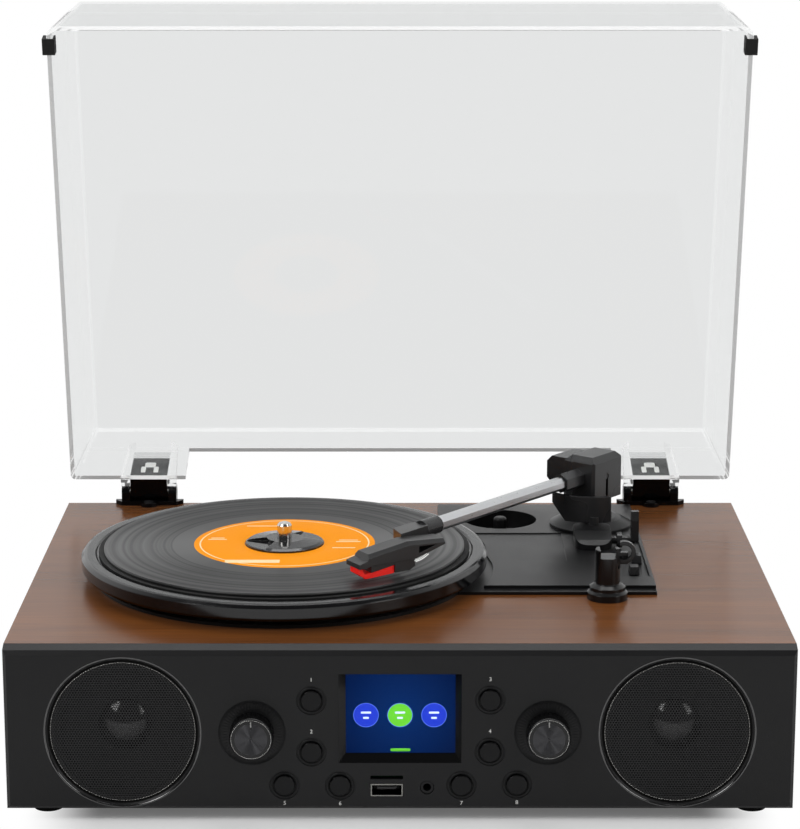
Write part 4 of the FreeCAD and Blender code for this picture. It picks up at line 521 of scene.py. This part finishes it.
NODE_FINISH = {
    "veneer": ["wood_cabinet"],
    "front": ["front_panel"],
    "deck": ["chassis_plate", "cue_housing", "arm_turret", "aux_jack", "dc_inlet"],
    "arm": ["arm_block", "headshell", "cartridge", "arm_yoke", "arm_lifter", "cue_lever", "speed_switch",
            "autostop_switch"],
    "gloss": [*BUTTONS, "hinge_bases", "hinge_leaves"],
    "adapter": ["adapter_45"],
    "post": ["arm_rest", "arm_clip"],
    "knob": ["volume_knob", "tune_knob"],
    "steel_sheet": ["speaker_grille_left", "speaker_grille_right"],
    "cone": ["speaker_left", "speaker_right"],
    "platter": ["platter"],
    "rubber": ["feet", "slip_mat", "drive_belt", "lid_bumpers"],
    "fibreboard": ["rear_panel", "bottom_cover"],
    "circuit": ["control_board", "main_board"],
    "red": ["stylus"],
    "vinyl": ["record"],
    "tube": ["arm_tube"],
    "chrome": ["spindle", "volume_shaft", "tune_shaft", "hinge_pins", "case_screws"],
    "tin": ["motor", "line_out_sockets"],
    "socket": ["usb_port"],
    "brass": ["bearing_bush", "motor_pulley"],
    "acrylic": ["dust_cover"],
    "lens": ["display_lens"],
    "screen": ["display_module"],
}
for finish, names in NODE_FINISH.items():
    for name in names:
        node_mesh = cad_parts[name].data
        node_mesh.materials.clear()
        node_mesh.materials.append(FINISH[finish])


# Front

def perforated_grille(side, sign):
    """Punched steel: six-sided cells set close, each a ring of twelve quads from the cell's border to a
    round hole and twelve more down the hole's wall; the beaded edge covers the outermost cells."""
    pitch, hole, depth, sunk = 1.25, 0.49, 0.2, -1.25
    reach, sides = 32.3, 12
    most = 2 * int(reach / pitch)
    steps = np.arange(-most, most + 1)
    a, b = np.meshgrid(steps, steps)
    centres = np.stack([pitch * (a + b / 2), pitch * b * math.sqrt(3) / 2], -1).reshape(-1, 2)
    centres = centres[np.hypot(*centres.T) < reach]
    # Every second spoke of a cell runs to a corner, the others to the middle of a side
    spokes = np.arange(sides)
    angle = np.radians(spokes * 30)
    border = pitch / 2 / np.where(spokes % 2, math.cos(math.radians(30)), 1.0)
    spoke = np.stack([np.cos(angle), np.sin(angle)], -1)
    levels = [(border, 0.0), (np.full(sides, hole), 0.0), (np.full(sides, hole), -depth)]
    cell = np.stack([np.column_stack([spoke * r[:, None], np.full(sides, h)]) for r, h in levels])
    points = cell[None] + np.column_stack([centres, np.zeros(len(centres))])[:, None, None]
    points += [sign * SPEAKER_X, CONTROL_ROW, sunk]
    first = len(levels) * sides * np.arange(len(centres))
    faces = grid_faces(len(levels), sides, False, True)[None] + first[:, None, None]
    made = mesh_piece("perforated_grille_" + side, on_front(points).reshape(-1, 3), faces.reshape(-1, 4),
                      "base", FINISH["steel_sheet"], smooth=False)
    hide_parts("speaker_grille_" + side)


def speaker_trim(side, sign):
    """Round a grille: a glossy rounded lip, a quarter circle from the panel's face inwards, a slope down
    to the sheet, blacker than the panel as painted shade, and a beaded edge inside; behind it the cone's
    dome, which falls away with the square of the radius."""
    middle = [sign * SPEAKER_X, CONTROL_ROW, 0]
    slope = turned_profile([34.45, 34.2, 33.4, 32.9], [-0.8, -0.95, -1.4, -1.75], 128) + middle
    funnel = sheet_piece("grille_slope_" + side, on_front(slope), "base", FINISH["shade"],
                         wrap_columns=True)
    lip_reach, lip_size, lip_base = 35.3, 0.85, -0.8
    bend = np.radians(np.linspace(-8, 90, 14))
    quarter = turned_profile(lip_reach - lip_size * np.sin(bend), lip_base + lip_size * np.cos(bend), 160)
    lip = sheet_piece("grille_lip_" + side, on_front(quarter + middle), "base", FINISH["lip"],
                      wrap_columns=True)
    edge_reach, edge_lift, edge_beads = 32.5, -1.2, 160
    turn = np.linspace(0, 2 * math.pi, 6 * edge_beads, endpoint=False)
    thick = 0.06 + 0.16 * np.maximum(0, np.cos(edge_beads * turn)) ** 2
    beads = beaded_ring(edge_reach, edge_lift, thick, turn) + middle
    edge = sheet_piece("grille_edge_" + side, on_front(beads), "base", FINISH["tin"],
                       wrap_rows=True, wrap_columns=True)
    dome_reach, dome_top, dome_height = 14.0, -6.8, 7.5
    share = np.linspace(0.001, 1, 16)
    swell = turned_profile(dome_reach * share, dome_top - dome_height * share ** 2, 64) + middle
    dome = sheet_piece("cone_dome_" + side, on_front(swell), "base", FINISH["dome"],
                       wrap_columns=True, flip=True)


def knob_dish(side, sign):
    """Shallow dish round a knob: the lift grows with the cube of the way out, so that a smooth hollow
    runs out into the panel, and fine low ribs stand over its middle."""
    inner, outer, deepest, rise = 10.4, 15.3, -0.78, 0.8
    rib_count, rib_height, rib_middle, rib_width = 60, 0.16, 0.4, 0.28
    angle = np.linspace(0, 2 * math.pi, rib_count * 6, endpoint=False)
    share = np.linspace(0, 1, 16)[:, None]
    wave = np.maximum(0, np.cos(rib_count * angle)) ** 2
    ribs = np.exp(-((share - rib_middle) / rib_width) ** 2) * wave
    lift = deepest + rise * share ** 3 + rib_height * ribs
    r = np.linspace(inner, outer, 16)[:, None]
    points = np.stack([r * np.cos(angle), r * np.sin(angle), lift], -1) + [sign * KNOB_X, CONTROL_ROW, 0]
    made = sheet_piece("knob_dish_" + side, on_front(points), "base", FINISH["front"],
                       wrap_columns=True, flip=True)


def spin_front(node, finish):
    """Give the front of a knob, its faces ahead of the front's level, a spun finish."""
    knob_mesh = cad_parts[node].data
    knob_mesh.materials.append(FINISH[finish])
    centres = np.empty(3 * len(knob_mesh.polygons))
    knob_mesh.polygons.foreach_get("center", centres)
    ahead = centres.reshape(-1, 3)[:, 1] < on_front([0, 0, KNOB_FRONT])[1]
    knob_mesh.polygons.foreach_set("material_index", ahead.astype(np.int32))


def knob_face(side, sign, body):
    """Collar of a knob behind its spun front, a shallow cone. Round it runs a fluted shoulder, a wave in
    the angle that grows outwards, with a bright beaded edge; a printed line points from the middle."""
    middle = [sign * KNOB_X, CONTROL_ROW, 0]
    collar = turned_profile([0.02, 0.8, 1.3, 1.6, 8.4, 8.7], [9.2, 9.25, 9.4, 9.46, 9.56, 9.5], 72)
    made = sheet_piece("knob_face_" + side, on_front(collar + middle), body, FINISH["knob"],
                       wrap_columns=True, flip=True)
    flute_count, flute_depth = 60, 0.22
    inner, width, top, drop = 8.65, 1.35, 9.45, 2.2
    turn = np.linspace(0, 2 * math.pi, 8 * flute_count, endpoint=False)
    crest = np.maximum(0, np.cos(flute_count * turn))
    share = np.linspace(0, 1, 8)[:, None]
    reach = inner + width * np.sin(share * math.pi / 2) - flute_depth * share * crest
    height = top - drop * (1 - np.cos(share * math.pi / 2)) + 0 * turn
    flutes = np.stack([reach * np.cos(turn), reach * np.sin(turn), height], -1) + middle
    shoulder = sheet_piece("knob_shoulder_" + side, on_front(flutes), body, FINISH["knob"],
                           wrap_columns=True, flip=True)
    edge_reach, edge_lift = 8.9, 9.36
    beads = beaded_ring(edge_reach, edge_lift, 0.06 + 0.12 * crest, turn) + middle
    edge = sheet_piece("knob_edge_" + side, on_front(beads), body, FINISH["chrome"],
                       wrap_rows=True, wrap_columns=True)
    line_out, line_width, line_length = 7.0, 0.6, 2.6
    line = slab((sign * KNOB_X, CONTROL_ROW + line_out), line_width, line_length, 9.5, 9.6)
    pointer = sheet_piece("knob_pointer_" + side, on_front(line), body, FINISH["grey_paint"],
                          wrap_columns=True, flip=True)


def button_trim(name, x, z):
    """A button's hollow face, a shallow bowl with an eased edge, and the raised bead round it."""
    face_reach, face_lift, face_hollow = 4.3, 0.9, 0.04
    share = np.linspace(0.004, 1, 12)
    bowl = turned_profile(face_reach * share, face_lift + face_hollow * share ** 2, 48)
    edge = turned_profile([4.5, 4.58], [0.86, 0.6], 48)
    face = sheet_piece(name + "_face", on_front(np.concatenate([bowl, edge]) + [x, z, 0]), name + "_cap",
                       FINISH["smooth_gloss"], wrap_columns=True, flip=True)
    bead_reach, bead_size, bead_lift = 5.7, 0.5, -0.5
    points = turned_profile(*bead_profile(bead_reach, bead_size, bead_lift), 48) + [x, z, 0]
    made = sheet_piece(name + "_rim", on_front(points), "base", FINISH["front"],
                       wrap_rows=True, wrap_columns=True)


def screen_disc(name, x, z, radius, finish):
    """A lit round mark on the screen: a flat disc with an eased edge, and a thin pale ring round it."""
    radii = np.array([0.01, radius - 0.15, radius, radius])
    lift = np.array([0.12, 0.12, 0.06, 0.0]) + SCREEN_FACE
    points = turned_profile(radii, lift, 40) + [x, z, 0]
    made = sheet_piece(name, on_front(points), "base", FINISH[finish], wrap_columns=True, flip=True)
    ring = turned_profile(*bead_profile(radius, 0.14, SCREEN_FACE + 0.1, 8), 40) + [x, z, 0]
    edge = sheet_piece(name + "_edge", on_front(ring), "base", FINISH["pale_blue_mark"],
                       wrap_rows=True, wrap_columns=True)


def screen_bar(name, x, z, width, height, finish, lift=0.0):
    """A lit bar on the screen, a slab 0.1 mm thick."""
    points = slab((x, z), width, height, lift + SCREEN_FACE, lift + SCREEN_FACE + 0.1)
    made = sheet_piece(name, on_front(points), "base", FINISH[finish], wrap_columns=True, flip=True)


def screen_frame():
    """Gloss facing of the window's four bevels: each is a sheet between two corners of a rectangle that
    is drawn in and sunk towards the screen, and has corners of its own so that the mitres stay sharp."""
    # Left, right, low and high sides of the window and of the screen's opening
    outer = np.array([-27.55, 27.55, -54.25, -12.55])
    inner = np.array([-24.35, 24.85, -50.45, -13.45])
    proud, sink = 0.03, 2.95
    rows = []
    for share in (0.0, 0.06, 0.94, 1.0):
        left, right, low, high = outer + (inner - outer) * share
        depth = proud - sink * share
        rows.append([[left, low, depth], [right, low, depth], [right, high, depth], [left, high, depth]])
    for wall in range(4):
        corners = np.array(rows)[:, [wall, (wall + 1) % 4]]
        made = sheet_piece("screen_frame_%d" % wall, on_front(corners), "base", FINISH["frame"], flip=True)


def socket_tongue():
    """Moulded tongue in the wide socket: a slab just behind its opening, in the upper half."""
    middle, width, height, root, tip = (-6.0, -66.5), 9.6, 1.5, -3.0, -1.0
    points = slab(middle, width, height, root, tip)
    made = sheet_piece("socket_tongue", on_front(points), "base", FINISH["arm"],
                       wrap_columns=True, flip=True)


def printed_number(name, text, x, z):
    """A plain printed number, made a mesh, turned upright and laid on the panel's face."""
    size, thickness, lift = 2.6, 0.02, 0.03
    letters = bpy.data.curves.new(name, "FONT")
    letters.body = text
    letters.size = size / 1000
    letters.align_x = "CENTER"
    letters.align_y = "CENTER"
    letters.extrude = thickness / 1000
    made = bpy.data.objects.new(name + "_curve", letters)
    bpy.context.scene.collection.objects.link(made)
    bpy.context.view_layer.update()
    mesh = bpy.data.meshes.new_from_object(made.evaluated_get(bpy.context.evaluated_depsgraph_get()))
    bpy.data.objects.remove(made)
    upright = Matrix.Rotation(math.radians(90), 4, "X")
    mesh.transform(Matrix.Translation(Vector(on_front([x, z, lift]))) @ upright)
    mesh.materials.clear()
    mesh.materials.append(FINISH["paint"])
    printed = bpy.data.objects.new(name, mesh)
    bpy.context.scene.collection.objects.link(printed)
    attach(printed, "base")


for side, sign in (("left", -1), ("right", 1)):
    perforated_grille(side, sign)
    speaker_trim(side, sign)
    knob_dish(side, sign)
spin_front("volume_knob", "spun")
spin_front("tune_knob", "spun_right")
knob_face("left", -1, "volume")
knob_face("right", 1, "tune_dial")

# The lowest buttons have their numbers below them, the others above
LOWEST_BUTTONS = -60
NUMBER_ABOVE = 9.6
NUMBER_BELOW = -8.6
for number, (name, (x, z)) in enumerate(BUTTONS.items(), start=1):
    button_trim(name, x, z)
    offset = NUMBER_ABOVE if z > LOWEST_BUTTONS else NUMBER_BELOW
    printed_number("mark_%d" % number, str(number), x, z + offset)

# Three discs in a row on the screen, each with a longer and a shorter bar that stand a little proud
SCREEN_MARKS = {"left": (-15.3, "blue_mark"), "middle": (0.0, "green_mark"), "right": (15.3, "blue_mark")}
MARK_ROW = -33.1
MARK_RADIUS = 5.6
SIGN_HEIGHT = 1.0
SIGN_LIFT = 0.15
for name, (x, finish) in SCREEN_MARKS.items():
    screen_disc("screen_mark_" + name, x, MARK_ROW, MARK_RADIUS, finish)
    screen_bar("screen_sign_" + name, x, MARK_ROW + 1.2, 4.6, SIGN_HEIGHT, "pale_mark", SIGN_LIFT)
    screen_bar("screen_sign_low_" + name, x, MARK_ROW - 1.3, 2.6, SIGN_HEIGHT, "pale_mark", SIGN_LIFT)
screen_bar("screen_line", 0.2, -49.6, 9.0, 1.4, "green_mark")
screen_frame()
socket_tongue()


# Record

def record_label():
    """Paper label: a thin ring from the wide centre hole outwards, on the record's upper face."""
    paper = 0.08
    radius = [19.3, 19.5, 30.0, 43.6, 44.0]
    lift = RECORD_TOP + paper * np.array([0, 1, 1, 1, 0])
    made = sheet_piece("record_label", on_platter(turned_profile(radius, lift, 128)), "turntable",
                       FINISH["label"], wrap_columns=True, flip=True)


record_label()


# Arm

def lead_wires():
    """Four thin leads from the socket to the cartridge: each a pipe along a falling line that sags by
    half a sine wave."""
    back, run, top, fall, sag, radius = -33.5, 7, 24.3, 2.6, 0.5, 0.26
    t = np.linspace(0, 1, 14)
    for number, offset in enumerate((2.0, 3.4, 4.8, 6.2)):
        height = top - fall * t - sag * np.sin(math.pi * t)
        path = np.stack([back + run * t, offset + 0 * t, height], -1)
        made = sheet_piece("lead_wire_%d" % number, on_shell(pipe(path, radius, 8)), "arm", FINISH["mark"],
                           wrap_columns=True)


lead_wires()


# Hinges

def screw_head(name, place, body):
    """Low blacked head with a cross recess: a flat dome in polar rows, sunk along two crossing bars."""
    head, dome_height, bar_half, bar_reach, recess = 2.6, 0.32, 0.4, 1.6, 0.02
    angle = np.linspace(0, 2 * math.pi, 64, endpoint=False)
    share = np.linspace(0.02, 1, 16)[:, None]
    x, y = head * share * np.cos(angle), head * share * np.sin(angle)
    dome = dome_height * np.sqrt(np.maximum(0, 1 - 0.85 * share ** 2)) + 0 * angle
    bars = np.minimum(np.abs(x), np.abs(y)) < bar_half
    cross = bars & (np.maximum(np.abs(x), np.abs(y)) < bar_reach)
    lift = np.where(cross, recess, dome)
    lift[-1] = 0
    points = np.stack([x, y, lift], -1) + place
    made = sheet_piece(name, on_deck(points), body, FINISH["arm"], wrap_columns=True)


# Slabs of the pale bridge on a hinge tongue: place along the hinge and up the tongue, width and height
LEAF_ARCH = {"bar": (0, 10.6, 5.8, 5.4), "left": (-3.4, 5.4, 2.6, 6.6), "right": (3.4, 5.4, 2.6, 6.6)}


def leaf_arch(side, sign):
    """Pale bridge printed on the hinge tongue: a bar and two legs, each a thin slab on its upper face."""
    low, high = 9.1, 9.24
    for part, (x, up, width, height) in LEAF_ARCH.items():
        flat = slab((sign * HINGE_X + x, up), width, height, low, high)
        points = np.stack([flat[..., 0], -flat[..., 2], flat[..., 1]], -1)
        made = sheet_piece("leaf_%s_%s" % (part, side), on_lid(points), "lid", FINISH["mark"],
                           wrap_columns=True)


def hinge_web(side, sign):
    """Thin dark sheet behind a hinge's barrel, bowed backwards between the ears, so that the backdrop does
    not show through the gaps round the barrel.
    """
    half, low, high, rear, bow = 14.3, 0.6, 9.4, 251.4, 0.4
    x, up = np.meshgrid(np.linspace(-half, half, 24), np.linspace(low, high, 10))
    back = rear + bow * (1 - (x / half) ** 2)
    points = np.stack([sign * HINGE_X + x, back, up], -1)
    made = sheet_piece("hinge_web_" + side, on_deck(points), "base", FINISH["gloss"])


for side, sign in (("left", -1), ("right", 1)):
    hinge_web(side, sign)
    screw_head("hinge_screw_" + side, np.array([sign * HINGE_X, *HINGE_SCREW]), "base")
    leaf_arch(side, sign)


# Floor, light and camera, in metres unless a line says otherwise

FLOOR_REACH = 12.0
FOOTPRINT = (0.135, 0.15, 0.0)
SHADOW_REACH = 0.038
SHADOW_LIFT = 0.12
ROOM_LIGHT = 0.42

# Place, width and height, power in watts
LAMPS = {
    "key": ((-1.3, -1.0, 1.5), (0.9, 0.9), 16.0),
    "fill": ((1.5, -0.9, 1.1), (0.7, 1.0), 9.0),
    "top": ((0.1, 0.3, 1.9), (1.4, 1.0), 15.0),
}
LAMP_AIM = (0, 0, 0.1)

# Place in millimetres from the deck's front edge, downward tilt in degrees, focal length and height
# of the picture in pixels
CAMERA_PLACE = (0, -1165.1, 370.4)
CAMERA_TILT = 12.83
FOCAL_LENGTH = 2722.85
PICTURE_HEIGHT = 829
SENSOR_MM = 36


def shown_rays(tree, kinds):
    """One where a ray is of one of the kinds named, such as Is Camera Ray; nought elsewhere."""
    path = put(tree, "ShaderNodeLightPath")
    shown = path.outputs[kinds[0]]
    for kind in kinds[1:]:
        either = put(tree, "ShaderNodeMath", {0: shown, 1: path.outputs[kind]}, operation="MAXIMUM")
        shown = either.outputs[0]
    return shown


def floor():
    """White paper floor: near the object the lamps' light on it keeps the shadow, and its own light fades
    out towards the object as a painted shade; away from it, where it is seen, its own light makes it plain
    white."""
    mesh = bpy.data.meshes.new("floor")
    corners = [(-FLOOR_REACH, -FLOOR_REACH, 0), (FLOOR_REACH, -FLOOR_REACH, 0),
               (FLOOR_REACH, FLOOR_REACH, 0), (-FLOOR_REACH, FLOOR_REACH, 0)]
    mesh.from_pydata(corners, [], [(0, 1, 2, 3)])
    made = bpy.data.objects.new("floor", mesh)
    bpy.context.scene.collection.objects.link(made)
    paper = "#e4e4e4"
    material, tree, shader, place = start("white_paper_floor", paper, Roughness=0.9,
                                          Specular_IOR_Level=0.0, Emission_Color=(1, 1, 1, 1))
    # Distance from the object's footprint
    size = put(tree, "ShaderNodeVectorMath", {0: place}, operation="ABSOLUTE")
    past = put(tree, "ShaderNodeVectorMath", {0: size.outputs[0], 1: FOOTPRINT}, operation="SUBTRACT")
    clear = put(tree, "ShaderNodeVectorMath", {0: past.outputs[0], 1: (0, 0, 0)}, operation="MAXIMUM")
    away = put(tree, "ShaderNodeVectorMath", {0: clear.outputs[0]}, operation="LENGTH")
    far = put(tree, "ShaderNodeMapRange", {
        "Value": away.outputs["Value"], "From Min": 0.0, "From Max": SHADOW_REACH},
        interpolation_type="SMOOTHSTEP")
    shown = shown_rays(tree, ["Is Camera Ray", "Is Transmission Ray"])
    plain = put(tree, "ShaderNodeMath", {0: far.outputs[0], 1: shown}, operation="MULTIPLY")
    ground = put(tree, "ShaderNodeMix", {
        "Factor": plain.outputs[0], COLOUR_A: linear(paper), COLOUR_B: (0, 0, 0, 1)},
        data_type="RGBA")
    # Painted shade round the object: the floor's own light rises from SHADOW_LIFT at the footprint to full
    lift = put(tree, "ShaderNodeMapRange", {
        "Value": far.outputs[0], "To Min": SHADOW_LIFT, "To Max": 1.0})
    level = put(tree, "ShaderNodeMath", {0: lift.outputs[0], 1: shown}, operation="MULTIPLY")
    tree.links.new(ground.outputs[MIXED], shader.inputs["Base Color"])
    tree.links.new(level.outputs[0], shader.inputs["Emission Strength"])
    mesh.materials.append(material)


def surroundings():
    """A studio with a lit backdrop: plain white where it is seen, white behind and dim in front of the
    object where it is mirrored, and an even grey light elsewhere."""
    world = bpy.data.worlds.new("studio")
    world.use_nodes = True
    bpy.context.scene.world = world
    tree = world.node_tree
    back = tree.nodes["Background"]
    view = put(tree, "ShaderNodeTexCoord").outputs["Generated"]
    way = put(tree, "ShaderNodeSeparateXYZ", {"Vector": view})
    depth = put(tree, "ShaderNodeMapRange", {
        "Value": way.outputs["Y"], "From Min": -0.2, "From Max": 0.5, "To Min": 0.1, "To Max": 1.0},
        interpolation_type="SMOOTHSTEP")
    glossy = shown_rays(tree, ["Is Glossy Ray"])
    mirrored = put(tree, "ShaderNodeMix", {"Factor": glossy, "A": ROOM_LIGHT, "B": depth.outputs[0]})
    seen = shown_rays(tree, ["Is Camera Ray", "Is Transmission Ray"])
    level = put(tree, "ShaderNodeMix", {"Factor": seen, "A": mirrored.outputs[0], "B": 1.0})
    tree.links.new(level.outputs[0], back.inputs["Strength"])
    back.inputs["Color"].default_value = (1, 1, 1, 1)


def lamp(name, place, size, power):
    """Soft lamp, a lit rectangle that faces the object."""
    data = bpy.data.lights.new(name, "AREA")
    data.shape = "RECTANGLE"
    data.size, data.size_y = size
    data.energy = power
    made = bpy.data.objects.new(name, data)
    made.location = place
    made.rotation_euler = (Vector(LAMP_AIM) - Vector(place)).to_track_quat("-Z", "Y").to_euler()
    bpy.context.scene.collection.objects.link(made)


def camera():
    """Long lens a little above the deck, as the picture was taken."""
    data = bpy.data.cameras.new("camera")
    data.sensor_width = SENSOR_MM
    data.lens = FOCAL_LENGTH / PICTURE_HEIGHT * SENSOR_MM
    data.clip_end = 50
    made = bpy.data.objects.new("camera", data)
    made.location = on_deck(CAMERA_PLACE).tolist()
    made.rotation_euler = (math.radians(90 - CAMERA_TILT), 0, 0)
    bpy.context.scene.collection.objects.link(made)
    bpy.context.scene.camera = made


floor()
surroundings()
for name, (place, size, power) in LAMPS.items():
    lamp(name, place, size, power)
camera()
bpy.context.scene.view_settings.view_transform = "Standard"
